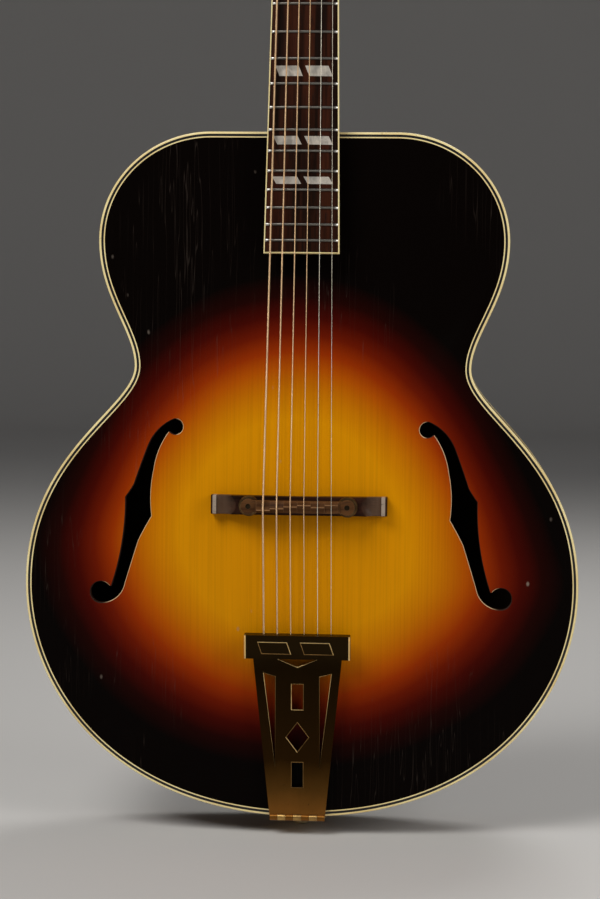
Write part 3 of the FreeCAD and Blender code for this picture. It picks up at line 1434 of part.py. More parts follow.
def bridge_saddle():
    """Saddle bar with rounded ends and a stepped, compensated crest."""
    half = SADDLE_WIDTH / 2
    shoulder = SADDLE_CENTRE.y + CREST_HEIGHT + camber_drop(SADDLE_SPREAD / 2)
    bar = box((-STUD_X, STUD_X), (shoulder, SADDLE_FOOT), (BRIDGE_Z - half, BRIDGE_Z + half))
    end_levels = (SADDLE_FOOT - SADDLE_END_HEIGHT, SADDLE_FOOT)
    parts = [bar]
    parts += [cylinder_y(SADDLE_END_RADIUS, x, BRIDGE_Z, end_levels) for x in (-STUD_X, STUD_X)]
    spacing = SADDLE_SPREAD / (string_count() - 1)
    for index in range(string_count()):
        point = saddle_point(index)
        crest = point.y + STRING_DIAMETERS[index] / 2 + STRING_REST_GAP
        roof = [
            (shoulder + GLUE_GAP, BRIDGE_Z - half),
            (crest, point.z - CREST_LAND / 2),
            (crest, point.z + CREST_LAND / 2),
            (shoulder + GLUE_GAP, BRIDGE_Z + half),
        ]
        parts.append(side_prism(roof, (point.x - spacing / 2, point.x + spacing / 2)))
    through = (shoulder - BRIDGE_WIDTH, SADDLE_FOOT + RIM_MARGIN)
    bores = [cylinder_y(STUD_RADIUS + RUNNING_FIT, x, BRIDGE_Z, through) for x in (-STUD_X, STUD_X)]
    ends = [
        box(
            sorted((side * (STUD_X - SADDLE_END_RADIUS), side * BRIDGE_LENGTH / 2)),
            (shoulder - BRIDGE_WIDTH, SADDLE_FOOT - SADDLE_END_HEIGHT),
            (BRIDGE_Z - BRIDGE_WIDTH, BRIDGE_Z + BRIDGE_WIDTH),
        )
        for side in (-1, 1)
    ]
    return fused(parts).cut(bores + ends)


# Tailpiece, in a frame whose X axis is the hinge


def knuckle_spans(first):
    """Spans along the hinge that belong to one leaf."""
    width = PLATE_FOOT_WIDTH / KNUCKLES
    start = -PLATE_FOOT_WIDTH / 2
    gap = KNUCKLE_GAP / 2
    return [
        (start + index * width + gap, start + (index + 1) * width - gap)
        for index in range(first, KNUCKLES, 2)
    ]


def knuckles(first):
    """Barrels of one leaf."""
    return [cylinder_x(KNUCKLE_RADIUS, 0, 0, span) for span in knuckle_spans(first)]


def knuckle_reliefs(first):
    """Room that one leaf leaves round the other leaf's barrels."""
    gap = KNUCKLE_GAP
    return [
        cylinder_x(KNUCKLE_RADIUS + CURVED_GAP, 0, 0, (low - gap, high + gap))
        for low, high in knuckle_spans(first)
    ]


def hinge_bore():
    """Bore of the hinge pin through every barrel."""
    return cylinder_x(HINGE_PIN_RADIUS + RUNNING_FIT, 0, 0, (-PLATE_FOOT_WIDTH, PLATE_FOOT_WIDTH))


def tailpiece():
    """Pierced plate with a boxed string bar, two raised emblems and its hinge barrels."""
    sheet = (-PLATE_THICKNESS / 2, PLATE_THICKNESS / 2)
    foot = PLATE_FOOT_WIDTH / 2
    top = PLATE_TOP_WIDTH / 2
    plate_top = BAR_START + BAR_WALL
    plate = plan_prism([(-foot, 0), (foot, 0), (top, plate_top), (-top, plate_top)], sheet)
    bar_top = BAR_START + BAR_HEIGHT
    bar = box((-BAR_WIDTH / 2, BAR_WIDTH / 2), (-BAR_FRONT, sheet[1]), (BAR_START, bar_top))
    inner = BAR_WIDTH / 2 - BAR_WALL
    cavity = box(
        (-inner, inner), (BAR_WALL - BAR_FRONT, RIM_MARGIN), (BAR_START + BAR_WALL, bar_top - BAR_TOP_WALL)
    )
    emblems = []
    for start in EMBLEM_STARTS:
        high = bar_top - EMBLEM_DROP
        low = high - EMBLEM_HEIGHT
        corners = [
            (start, high),
            (start + EMBLEM_WIDTH, high),
            (start + EMBLEM_WIDTH + EMBLEM_SKEW, low),
            (start + EMBLEM_SKEW, low),
        ]
        emblems.append(plan_prism(corners, (-BAR_FRONT - EMBLEM_RISE, -BAR_FRONT + GLUE_GAP)))
    through = (-RIM_MARGIN, RIM_MARGIN)
    notch = [(-NOTCH_WIDTH / 2, BAR_START), (NOTCH_WIDTH / 2, BAR_START), (0, BAR_START - NOTCH_DEPTH)]
    window = [(WINDOW_OUTER, WINDOW_TOP), (WINDOW_INNER, WINDOW_INNER_TOP), (WINDOW_INNER, WINDOW_FOOT)]
    half_slot = SLOT_WIDTH / 2
    slots = [box((-half_slot, half_slot), through, limits) for limits in (UPPER_SLOT, LOWER_SLOT)]
    diamond = [
        (-DIAMOND_WIDTH / 2, DIAMOND_CENTRE),
        (0, DIAMOND_CENTRE + DIAMOND_HEIGHT / 2),
        (DIAMOND_WIDTH / 2, DIAMOND_CENTRE),
        (0, DIAMOND_CENTRE - DIAMOND_HEIGHT / 2),
    ]
    cuts = [plan_prism(shape, through) for shape in (notch, diamond)]
    cuts += slots + both_sides(plan_prism(window, through))
    pierced = plate.cut(cuts + knuckle_reliefs(1))
    depth = (bar_top - BAR_TOP_WALL - BALL_RADIUS, bar_top + RIM_MARGIN)
    holes = [cylinder_z(STRING_HOLE_RADIUS, hole.x, hole.y, depth) for hole in string_holes()]
    boxed = bar.cut([cavity] + holes)
    return placed(fused([pierced, boxed] + emblems + knuckles(0)).cut(hinge_bore()), TAIL_FRAME)


def tailpiece_bracket():
    """Strap screwed round the tail, with the hinge barrels that stay still."""
    foot = PLATE_FOOT_WIDTH / 2
    reach = (HINGE_Y, BRACKET_BACK)
    strap = outline_ring(-BRACKET_GAP - BRACKET_THICKNESS, -BRACKET_GAP, reach)
    strap = strap.common(box((-foot, foot), reach, (0, TAIL_Z + RIM_MARGIN)))
    strap = strap.cut([placed(relief, TAIL_FRAME) for relief in knuckle_reliefs(0)])
    barrels = [placed(barrel, TAIL_FRAME) for barrel in knuckles(1)]
    bores = [placed(hinge_bore(), TAIL_FRAME), end_pin_bore()] + bracket_screw_bores()
    return fused([strap] + barrels).cut(bores)


def hinge_pin():
    """Pin of the tailpiece hinge."""
    half = PLATE_FOOT_WIDTH / 2
    return placed(cylinder_x(HINGE_PIN_RADIUS, 0, 0, (-half, half)), TAIL_FRAME)


def bracket_screws():
    """Dome-headed screws that hold the bracket to the tail block."""
    screws = []
    seat = TAIL_Z - BRACKET_GAP - BRACKET_THICKNESS - GLUE_GAP
    for x, y in bracket_screw_places():
        shank = cylinder_z(BRACKET_SCREW_RADIUS, x, y, (seat, TAIL_Z + BRACKET_SCREW_LENGTH - GLUE_GAP))
        head = cylinder_z(BRACKET_SCREW_HEAD, x, y, (seat - BRACKET_SCREW_RADIUS, seat))
        rims = [edge for edge in head.Edges if edge.BoundBox.ZMax < seat - BRACKET_SCREW_DOME]
        dome = head.makeFillet(BRACKET_SCREW_DOME, rims)
        screws.append(fused([shank, dome]))
    return screws


def end_pin():
    """Turned strap button with a tapered tip, a waist for the strap and a shank in the tail block."""
    rim_start = PIN_DOME
    rim_end = rim_start + PIN_RIM
    neck_end = rim_end + PIN_NECK
    across, along = PIN_DOME_BOW
    bow = Vector(PIN_TIP_RADIUS + (PIN_RADIUS - PIN_TIP_RADIUS) * across, 0, PIN_DOME * along)
    corners = [
        Vector(PIN_RADIUS, 0, rim_start),
        Vector(PIN_RADIUS, 0, rim_end),
        Vector(PIN_NECK_RADIUS, 0, rim_end + (PIN_RADIUS - PIN_NECK_RADIUS) / 2),
        Vector(PIN_NECK_RADIUS, 0, neck_end),
        Vector(PIN_FLANGE_RADIUS, 0, neck_end),
        Vector(PIN_FLANGE_RADIUS, 0, neck_end + PIN_FLANGE),
        Vector(PIN_SHANK_RADIUS, 0, neck_end + PIN_FLANGE),
        Vector(PIN_SHANK_RADIUS, 0, TAIL_Z + PIN_SHANK),
        Vector(0, 0, TAIL_Z + PIN_SHANK),
        Vector(0, 0, 0),
        Vector(PIN_TIP_RADIUS, 0, 0),
    ]
    edges = [line(corners[index], corners[index + 1]) for index in range(len(corners) - 1)]
    edges.append(arc(corners[-1], bow, corners[0]))
    return Part.Face(Part.Wire(edges)).revolve(Vector(0, 0, 0), Z_AXIS, 360)


def pieces():
    """Every node of the guitar by name; a list is a group of identical solids."""
    rib_bass, rib_treble = ribs()
    head_block, tail_block = blocks()
    nodes = {
        "top_plate": top_plate(),
        "back_plate": back_plate(),
        "rib_bass": rib_bass,
        "rib_treble": rib_treble,
        "head_block": head_block,
        "tail_block": tail_block,
        "top_lining": lining(TOP_GLUE, 1),
        "back_lining": lining(BACK_GLUE, -1),
        "tone_bars": tone_bars(),
        "neck": neck(),
        "heel_cap": heel_cap(),
        "fingerboard": fingerboard(),
        "fingerboard_binding": fingerboard_binding(),
        "fret_inlays": fret_inlays(),
        "frets": frets(),
        "nut": nut(),
        "headstock_overlay": headstock_overlay(),
        "truss_rod": truss_rod(),
        "truss_rod_cover": truss_rod_cover(),
        "cover_screws": cover_screws(),
        "bridge_base": bridge_base(),
        "bridge_studs": bridge_studs(),
        "bridge_saddle": bridge_saddle(),
        "thumbwheel_bass": thumbwheel(-STUD_X),
        "thumbwheel_treble": thumbwheel(STUD_X),
        "tailpiece": tailpiece(),
        "tailpiece_bracket": tailpiece_bracket(),
        "hinge_pin": hinge_pin(),
        "bracket_screws": bracket_screws(),
        "end_pin": end_pin(),
    }
    nodes.update(edge_trim())
    places = tuner_places()
    plate = tuner_plate()
    bushing = tuner_bushing()
    screws = tuner_screws()
    post = tuner_post()
    key = tuner_key()
    nodes["tuner_plates"] = [at_tuner(plate, place) for place in places]
    nodes["tuner_bushings"] = [at_tuner(bushing, place) for place in places]
    nodes["tuner_screws"] = [at_tuner(screw, place) for place in places for screw in screws]
    for index, place in enumerate(places):
        nodes["tuner_post_%d" % (index + 1)] = at_tuner(post, place)
        nodes["tuner_key_%d" % (index + 1)] = at_tuner(key, place)
        nodes["string_%d" % (index + 1)] = string(index)
    return nodes


def main():
    """Write one STEP file for each node."""
    os.makedirs("parts", exist_ok=True)
    for name, shape in pieces().items():
        node = Part.makeCompound(shape) if isinstance(shape, list) else shape
        print(name, "solids", len(node.Solids), "valid", node.isValid(), "volume", round(node.Volume, 1))
        node.exportStep("parts/%s.step" % name)


main()
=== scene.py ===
import math

import bmesh
import bpy
import numpy as np
from bpy.props import FloatProperty, FloatVectorProperty, IntProperty, PointerProperty
from bpy.types import Operator, Panel, PropertyGroup
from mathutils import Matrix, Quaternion, Vector


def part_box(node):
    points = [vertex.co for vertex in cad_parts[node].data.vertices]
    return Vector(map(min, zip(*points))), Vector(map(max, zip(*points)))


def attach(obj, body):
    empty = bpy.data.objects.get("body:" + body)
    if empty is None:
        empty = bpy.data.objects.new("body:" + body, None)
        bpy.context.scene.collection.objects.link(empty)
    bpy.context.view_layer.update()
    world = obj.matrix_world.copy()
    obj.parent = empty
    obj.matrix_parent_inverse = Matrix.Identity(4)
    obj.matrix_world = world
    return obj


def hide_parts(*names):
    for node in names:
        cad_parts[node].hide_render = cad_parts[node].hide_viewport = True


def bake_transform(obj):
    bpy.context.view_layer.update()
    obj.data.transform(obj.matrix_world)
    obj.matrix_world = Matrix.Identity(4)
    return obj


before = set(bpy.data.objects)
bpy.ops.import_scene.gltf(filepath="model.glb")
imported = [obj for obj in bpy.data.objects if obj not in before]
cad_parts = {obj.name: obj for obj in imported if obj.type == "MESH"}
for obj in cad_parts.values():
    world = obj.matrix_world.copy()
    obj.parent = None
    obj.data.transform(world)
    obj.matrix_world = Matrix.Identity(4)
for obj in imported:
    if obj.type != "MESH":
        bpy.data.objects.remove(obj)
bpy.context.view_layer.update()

bl_info = {
    "name": "Archtop Guitar",
    "version": (1, 0, 0),
    "blender": (4, 5, 0),
    "location": "View3D > Sidebar > Guitar",
    "description": "Fine surfaces and finishes of a carved-top guitar around its solids",
    "category": "Object",
}

TAU = 2 * math.pi
BODY = "guitar_body"
STRINGS = 6
WOUND_STRINGS = 4
STRING_SIDES = 12
FRETS = 20
OCTAVE = 12
INLAY_FRETS = (1, 3, 5, 7, 9, 12, 15, 17)
SIDE_DOT_FRETS = INLAY_FRETS[1:]

# Lengths in metres, as the solids have them

SAME_PLACE = 2e-6
PROUD = 0.00003
SEAM = 0.00005
SCALE_LENGTH = 0.6477
ARCH_MIDDLE = 0.252
INNER_RECURVE = 0.01095
NECK_ORIGIN = (0, -0.055, 0.54775)
NECK_TO_NUT = 0.359193
HEAD_START = NECK_TO_NUT + 0.0051
HINGE = (0, -0.0472, 0.01435)
BOARD_TAIL = NECK_TO_NUT - SCALE_LENGTH * (1 - 2 ** (-FRETS / OCTAVE)) - 0.01
BOARD_BINDING = 0.0010
WING_START = 0.0478
WING_END = 0.0634
WING_BOW = 0.004
BRIDGE_LOW, BRIDGE_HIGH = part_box("bridge_base")
BRIDGE_MIDDLE = (BRIDGE_LOW.z + BRIDGE_HIGH.z) / 2
BRIDGE_HALF_WIDTH = (BRIDGE_HIGH.z - BRIDGE_LOW.z) / 2

# Leans about the X axis in degrees

NECK_LEAN = -4
HEAD_LEAN = -15
TAIL_LEAN = 7


def length(name, description, default):
    """A size that a user may change, in metres."""
    return FloatProperty(name=name, description=description, default=default, unit="LENGTH", precision=5)


def tint(name, description, default):
    """A colour that a user may change."""
    return FloatVectorProperty(
        name=name, description=description, default=default, subtype="COLOR", size=3, min=0.0, max=1.0
    )


class GuitarSizes(PropertyGroup):
    """Sizes of the surfaces, all in the frame of the solids."""

    tail: length("Tail", "Height of the body's lower end above the pin's tip", 0.01435)
    body: length("Body length", "Length of the body", 0.5334)
    lower_bout: length("Lower bout", "Greatest width of the body", 0.4318)
    waist: length("Waist", "Width at the waist", 0.2616)
    upper_bout: length("Upper bout", "Width of the upper bout", 0.3184)
    top_rim: length("Top rim", "Level of the top's edge", -0.044)
    back_rim: length("Back rim", "Level of the back's edge", 0.043)
    glue: length("Half rib depth", "Half the depth of the ribs", 0.038)
    top_arch: length("Top arch", "Rise of the carved top", 0.018)
    back_arch: length("Back arch", "Rise of the carved back", 0.016)
    recurve: length("Recurve", "Flat margin round the arch", 0.012)
    binding: length("Binding", "Width of the cream binding", 0.0017)
    black_line: length("Black line", "Width of the black line", 0.0018)
    cream_line: length("Cream line", "Width of the inner cream line", 0.0009)
    scale_length: length("Scale length", "Length of the vibrating strings", SCALE_LENGTH)
    board_radius: length("Board camber", "Radius of the playing surface", 0.305)
    board_thickness: length("Board thickness", "Thickness of the fingerboard", 0.006)
    board_nut: length("Board at nut", "Width of the fingerboard at the nut", 0.043)
    board_end: length("Board at end", "Width of the fingerboard at its end", 0.0582)
    fret_width: length("Fret width", "Width of the fret wire", 0.0021)
    fret_height: length("Fret height", "Height of the fret wire", 0.0011)
    string_diameters: FloatVectorProperty(
        name="Strings",
        description="Diameters of the strings from the lowest",
        size=6,
        default=(0.00142, 0.00117, 0.00091, 0.00066, 0.00043, 0.00033),
        unit="LENGTH",
        precision=5,
    )
    knurls: IntProperty(name="Knurls", description="Ridges round a thumbwheel", default=64)


class GuitarColours(PropertyGroup):
    """Colours of the finishes."""

    amber: tint("Amber", "Middle of the sunburst", (0.66, 0.255, 0.001))
    orange: tint("Orange", "Second colour of the sunburst", (0.37, 0.040, 0.001))
    red: tint("Red", "Third colour of the sunburst", (0.10, 0.0042, 0.001))
    edge: tint("Edge", "Rim of the sunburst", (0.0020, 0.0010, 0.0007))
    cream: tint("Cream", "Aged binding", (0.90, 0.75, 0.37))
    rosewood: tint("Rosewood", "Fingerboard and bridge", (0.0085, 0.0034, 0.0018))
    gold: tint("Gold", "Plated metal", (0.60, 0.37, 0.12))
    bronze: tint("Bronze", "Wound strings", (0.97, 0.64, 0.34))
    steel: tint("Steel", "Fret wire", (0.20, 0.185, 0.16))
    pearl: tint("Pearl", "Fingerboard inlays", (0.58, 0.52, 0.44))
    floor: tint("Floor", "Studio floor", (0.60, 0.58, 0.55))


def sizes():
    """The sizes of this scene."""
    return bpy.context.scene.guitar_sizes


def colours():
    """The colours of this scene."""
    return bpy.context.scene.guitar_colours


def between(first, second, share):
    """Colour between two colours."""
    return tuple(np.array(first) * (1 - share) + np.array(second) * share)


# Frames of the neck, the headstock and the tailpiece


def turned(points, origin, degrees):
    """Points turned about the X axis by an angle and moved to an origin."""
    cosine, sine = math.cos(math.radians(degrees)), math.sin(math.radians(degrees))
    x, y, z = np.moveaxis(np.asarray(points, float), -1, 0)
    return np.stack([x, y * cosine - z * sine, y * sine + z * cosine], axis=-1) + np.asarray(origin)


def turned_back(points, origin, degrees):
    """The reverse of turned: points moved back from an origin, then turned back by an angle."""
    return turned(np.asarray(points) - np.asarray(origin), (0, 0, 0), -degrees)


def neck_space(points):
    """From the neck's frame, with its top on y = 0 and the body joint at z = 0, into the guitar's frame."""
    return turned(points, NECK_ORIGIN, NECK_LEAN)


def head_space(points):
    """From the headstock's frame, with its face on y = 0 and the nut at z = 0, into the guitar's frame."""
    return neck_space(turned(points, (0, 0, HEAD_START), HEAD_LEAN))


def tail_space(points):
    """From the tailpiece's frame, with the hinge on the X axis, into the guitar's frame."""
    return turned(points, HINGE, TAIL_LEAN)


# Surfaces


def points_of(x, y, z):
    """Stack coordinate arrays, spread to one shape, into points."""
    return np.stack(np.broadcast_arrays(x, y, z), axis=-1).astype(float)


def skin(rings, hoop=False):
    """Closed surface through rings[i, j]: quads join neighbours, j wraps round.

    With hoop the last ring joins the first; without it a flat face closes each end.
    """
    count, around = rings.shape[:2]
    index = np.arange(count * around).reshape(count, around)
    if hoop:
        index = np.concatenate([index, index[:1]])
    after = np.roll(index, -1, axis=1)
    quads = np.stack([index[:-1], after[:-1], after[1:], index[1:]], axis=-1)
    faces = quads.reshape(-1, 4).tolist()
    if not hoop:
        faces += [index[0][::-1].tolist(), index[-1].tolist()]
    return rings.reshape(-1, 3), faces


def joined(surfaces):
    """Several surfaces as one list of vertices and one of faces."""
    faces = []
    start = 0
    for points, polygons in surfaces:
        faces += [[corner + start for corner in polygon] for polygon in polygons]
        start += len(points)
    return np.concatenate([points for points, polygons in surfaces]), faces


def lathe(profile, segments, place):
    """Surface of revolution: profile rows (radius, height) turn about an axis.

    place takes arrays (across, height, along) where the axis is the height, and returns points.
    """
    turn = np.arange(segments) * TAU / segments
    radius, height = np.asarray(profile, float).T[:, :, None]
    return skin(place(radius * np.cos(turn), height + 0 * turn, radius * np.sin(turn)))


def unit(rows):
    """Rows scaled to a length of 1."""
    return rows / np.linalg.norm(rows, axis=1, keepdims=True)


def winding(loop):
    """1 for a loop that runs anticlockwise, -1 for the other way: the sign of its area."""
    x, z = loop.T
    return np.sign(np.sum(x * np.roll(z, -1) - np.roll(x, -1) * z))


def bearing(point, centre):
    """Angle of the way from a centre to a point."""
    return math.atan2(point[1] - centre[1], point[0] - centre[0])


def on_circle(centre, radius, turn):
    """Points of a circle at some angles."""
    return centre + radius * np.stack([np.cos(turn), np.sin(turn)], axis=1)


def bezier_rows(curves, share):
    """Points and directions of cubic Bezier curves at each share: sum of Bernstein weights times corners."""
    rest = 1 - share
    weights = np.stack([rest ** 3, 3 * rest ** 2 * share, 3 * rest * share ** 2, share ** 3], axis=-1)
    slopes = np.stack([rest ** 2, 2 * rest * share, share ** 2], axis=-1) * 3
    points = np.einsum("sk,ckd->csd", weights, curves)
    ways = np.einsum("sk,ckd->csd", slopes, np.diff(curves, axis=1))
    return points.reshape(-1, 2), ways.reshape(-1, 2)


def half_outline(inset, steps):
    """Treble edge of the body from the tail to the shoulder, moved inwards along its normal by an inset."""
    s = sizes()
    lower_height, waist_drop = 0.1816, 0.0978
    # The shoulder is near a quarter ellipse: its handles are this share of its reach and of its drop
    reach, drop, quarter = 0.0874, 0.084, 0.5523
    lower = np.array([s.lower_bout / 2, lower_height])
    upper = np.array([s.upper_bout / 2, s.body - drop])
    waist = np.array([s.waist / 2, upper[1] - waist_drop])
    shoulder = np.array([upper[0] - reach, s.body])
    along, up = np.array([1, 0]), np.array([0, 1])
    curves = np.array(
        [
            [0 * lower, 0.1437 * along, lower - 0.0883 * up, lower],
            [lower, lower + 0.1026 * up, waist - 0.0329 * up, waist],
            [waist, waist + 0.0269 * up, upper - 0.0444 * up, upper],
            [upper, upper + quarter * drop * up, shoulder + quarter * reach * along, shoulder],
        ]
    )
    points, ways = bezier_rows(curves, np.arange(steps) / steps)
    last_point, last_way = bezier_rows(curves[-1:], np.array([1.0]))
    ways = unit(np.concatenate([ways, last_way]))
    normal = np.stack([-ways[:, 1], ways[:, 0]], axis=1)
    return np.concatenate([points, last_point]) + inset * normal + np.array([0, s.tail])


def outline(inset, steps=56):
    """Closed loop (x, z) of the body: treble edge, straight shoulder line, mirrored bass edge."""
    half = half_outline(inset, steps)
    across = np.linspace(1, -1, 16)[1:-1, None] * np.array([1, 0]) * half[-1] + np.array([0, half[-1][1]])
    bass = half[:0:-1] * np.array([-1, 1])
    return np.concatenate([half, across, bass])


def arch_share(x, z, inset):
    """Height share of a carved arch: cos squared of (distance over reach), 1 in the middle, 0 at the inset.

    The reach is the polar radius of the outline about the arch's middle, averaged near that middle.
    """
    s = sizes()
    middle = s.tail + ARCH_MIDDLE
    half = half_outline(inset, 40)
    half = np.concatenate([half, [[0, half[-1][1]]]])
    angles = np.arctan2(half[:, 1] - middle, half[:, 0])
    radii = np.hypot(half[:, 0], half[:, 1] - middle)
    rise = z - middle
    angle = np.arctan2(rise, np.abs(x))
    distance = np.hypot(x, rise)

    def reach(turn):
        return np.interp(np.arcsin(np.sin(angle + turn)), angles, radii)

    edge = reach(0.0)
    smooth = sum(reach(math.radians(step * 10)) for step in range(-4, 5)) / 9
    near = np.minimum(distance / edge, 1) ** 3
    fraction = np.minimum(distance / (smooth + near * (edge - smooth)), 1)
    return np.cos(fraction * math.pi / 2) ** 2


def top_level(x, z):
    """Level of the carved top's outer face."""
    s = sizes()
    return s.top_rim - s.top_arch * arch_share(x, z, s.recurve)


def back_level(x, z):
    """Level of the carved back's outer face."""
    s = sizes()
    return s.back_rim + s.back_arch * arch_share(x, z, s.recurve)


def plate(inset, outer, inner_edge, inner_rise):
    """Carved plate: rays from the arch's middle to the outline carry the outer face, and back the inner one.

    outer(x, z) is the outer level; the inner face is inner_edge + inner_rise * arch share.
    """
    s = sizes()
    loop = outline(inset)
    middle = np.array([0, s.tail + ARCH_MIDDLE])
    share = np.linspace(0, 1, 72)[1:] ** 0.8
    flat = middle + share[:, None, None] * (loop - middle)
    x, z = np.moveaxis(flat, -1, 0)
    front = points_of(x, outer(x, z), z)
    rear = points_of(x, inner_edge + inner_rise * arch_share(x, z, INNER_RECURVE), z)
    return skin(np.concatenate([front, rear[::-1]]))


def band(profile):
    """Hoop that follows the outline: each profile row is an inset and a level."""
    rings = [points_of(*np.insert(outline(inset), 1, level, axis=1).T) for inset, level in profile]
    return skin(np.array(rings), hoop=True)


def rounded_bar(low, high, near, far, soft):
    """Corners of a rectangle (inset, level) whose outer corners are rounded by a radius."""
    turns = np.linspace(math.pi / 2, 0, 4)
    first = [(low + soft - soft * math.cos(turn), near + soft - soft * math.sin(turn)) for turn in turns]
    return [(high, near)] + first + [(low, far), (high, far)]


# Finishes


def operator(operation):
    """Method that adds one Math node for a term and what it meets."""
    return lambda term, *others: term.finish.math(operation, term, *others)


class Term:
    """A socket that takes part in Python expressions: each operator adds one Math node."""

    def __init__(self, finish, socket):
        self.finish = finish
        self.socket = socket

    __add__ = __radd__ = operator("ADD")
    __mul__ = __rmul__ = operator("MULTIPLY")
    __sub__ = operator("SUBTRACT")
    __truediv__ = operator("DIVIDE")
    __pow__ = operator("POWER")
    __abs__ = operator("ABSOLUTE")

    def __rsub__(self, other):
        return self.finish.math("SUBTRACT", other, self)

    def step(self, low, high):
        """0 below low, 1 above high, smooth between; low may be the larger one."""
        settings = {"interpolation_type": "SMOOTHSTEP", "clamp": True}
        sockets = {"Value": self, "From Min": low, "From Max": high}
        return self.finish.node("ShaderNodeMapRange", settings, sockets)


class Finish:
    """A procedural material built from expressions on object coordinates."""

    def __init__(self, name):
        self.material = bpy.data.materials.new(name)
        self.material.use_nodes = True
        self.tree = self.material.node_tree
        self.tree.nodes.clear()
        self.shader = self.tree.nodes.new("ShaderNodeBsdfPrincipled")
        output = self.tree.nodes.new("ShaderNodeOutputMaterial")
        self.tree.links.new(self.shader.outputs["BSDF"], output.inputs["Surface"])
        self.place = self.node("ShaderNodeTexCoord", output="Object")
        self.x, self.y, self.z = self.split(self.place)

    def node(self, kind, settings=None, sockets=None, output=0):
        """Add a node: settings first, then the values or links of its sockets; gives one output."""
        made = self.tree.nodes.new(kind)
        for key, value in (settings or {}).items():
            if key == "stops":
                self.stops(made.color_ramp, value)
            else:
                setattr(made, key, value)
        for key, value in (sockets or {}).items():
            self.plug(made.inputs[key], value)
        return Term(self, made.outputs[output])

    def stops(self, ramp, values):
        """Set a ramp's positions and colours."""
        for position, colour in values[2:]:
            ramp.elements.new(position)
        for element, (position, colour) in zip(ramp.elements, values):
            element.position = position
            element.color = (*colour, 1.0)

    def plug(self, socket, value):
        """Link a term to a socket, or set the socket's own value."""
        if isinstance(value, Term):
            self.tree.links.new(value.socket, socket)
        elif hasattr(value, "__len__") and len(value) == 3 and socket.type == "RGBA":
            socket.default_value = (*value, 1.0)
        else:
            socket.default_value = value

    def feed(self, **sockets):
        """Set or link the shader's sockets; underscores stand for spaces."""
        for key, value in sockets.items():
            self.plug(self.shader.inputs[key.replace("_", " ")], value)

    def look(self, colour, rough, normal=None, **constants):
        """Feed the colour, the roughness and the normal, with any constants."""
        self.feed(Base_Color=colour, Roughness=rough, **constants)
        if normal:
            self.feed(Normal=normal)

    def math(self, operation, *values):
        """One Math node."""
        return self.node("ShaderNodeMath", {"operation": operation}, dict(enumerate(values)))

    def split(self, vector):
        """The three parts of a vector."""
        made = self.tree.nodes.new("ShaderNodeSeparateXYZ")
        self.tree.links.new(vector.socket, made.inputs[0])
        return [Term(self, part) for part in made.outputs]

    def vector(self, x, y, z):
        """A vector of three values."""
        return self.node("ShaderNodeCombineXYZ", None, {"X": x, "Y": y, "Z": z})

    def stretched(self, x, y, z):
        """Object coordinates scaled along each axis."""
        settings = {"operation": "MULTIPLY"}
        return self.node("ShaderNodeVectorMath", settings, {0: self.place, 1: (x, y, z)})

    def noise(self, place, detail=2.0, rough=0.5):
        """Noise between 0 and 1."""
        sockets = {"Vector": place, "Scale": 1.0, "Detail": detail, "Roughness": rough}
        return self.node("ShaderNodeTexNoise", None, sockets)

    def grain(self, x, y, z, detail=2.0, rough=0.5):
        """Noise on object coordinates scaled along each axis."""
        return self.noise(self.stretched(x, y, z), detail, rough)

    def cells(self, x, y, z):
        """Distance to the nearest of scattered points, on coordinates scaled along each axis."""
        return self.node("ShaderNodeTexVoronoi", None, {"Vector": self.stretched(x, y, z), "Scale": 1.0})

    def ramp(self, value, stops):
        """Colour by value."""
        return self.node("ShaderNodeValToRGB", {"stops": stops}, {"Fac": value})

    def mix(self, share, first, second):
        """Blend of two colours."""
        sockets = {0: share, 6: first, 7: second}
        return self.node("ShaderNodeMix", {"data_type": "RGBA"}, sockets, output=2)

    def bump(self, height, distance, strength, soft=None):
        """Normal bent by a height, on top of the normal of softened edges where there is one."""
        sockets = {"Height": height, "Distance": distance, "Strength": strength}
        if soft:
            sockets["Normal"] = soft
        return self.node("ShaderNodeBump", None, sockets)

    def softened(self, radius):
        """Normal rounded over the edges by a radius, and how near an edge is, from 0 to 1."""
        soft = self.node("ShaderNodeBevel", {"samples": 6}, {"Radius": radius}, output="Normal")
        flat = self.node("ShaderNodeNewGeometry", output="Normal")
        settings = {"operation": "DOT_PRODUCT"}
        same = self.node("ShaderNodeVectorMath", settings, {0: soft, 1: flat}, output="Value")
        return soft, same.step(0.99, 0.86)


def finish(maker):
    """The material of a maker function, made once."""
    name = "finish_" + maker.__name__
    found = bpy.data.materials.get(name)
    if not found:
        made = Finish(name)
        maker(made)
        found = made.material
    return found


def burst_radius(f, width, up, down, middle, spread=0.0, lean=0.0):
    """Distance from the burst's middle over an ellipse with its own height upwards and downwards.

    Below the middle the ellipse is wider by a spread; above it leans towards the bass side.
    """
    rise = f.z - middle
    tall = rise.step(-0.001, 0.001) * (1 / up - 1 / down) + 1 / down
    wide = rise.step(0.10, -0.06) * spread + width
    across = f.x + rise.step(-0.05, 0.0) * lean
    return ((across / wide) ** 2 + (rise * tall) ** 2) ** 0.5


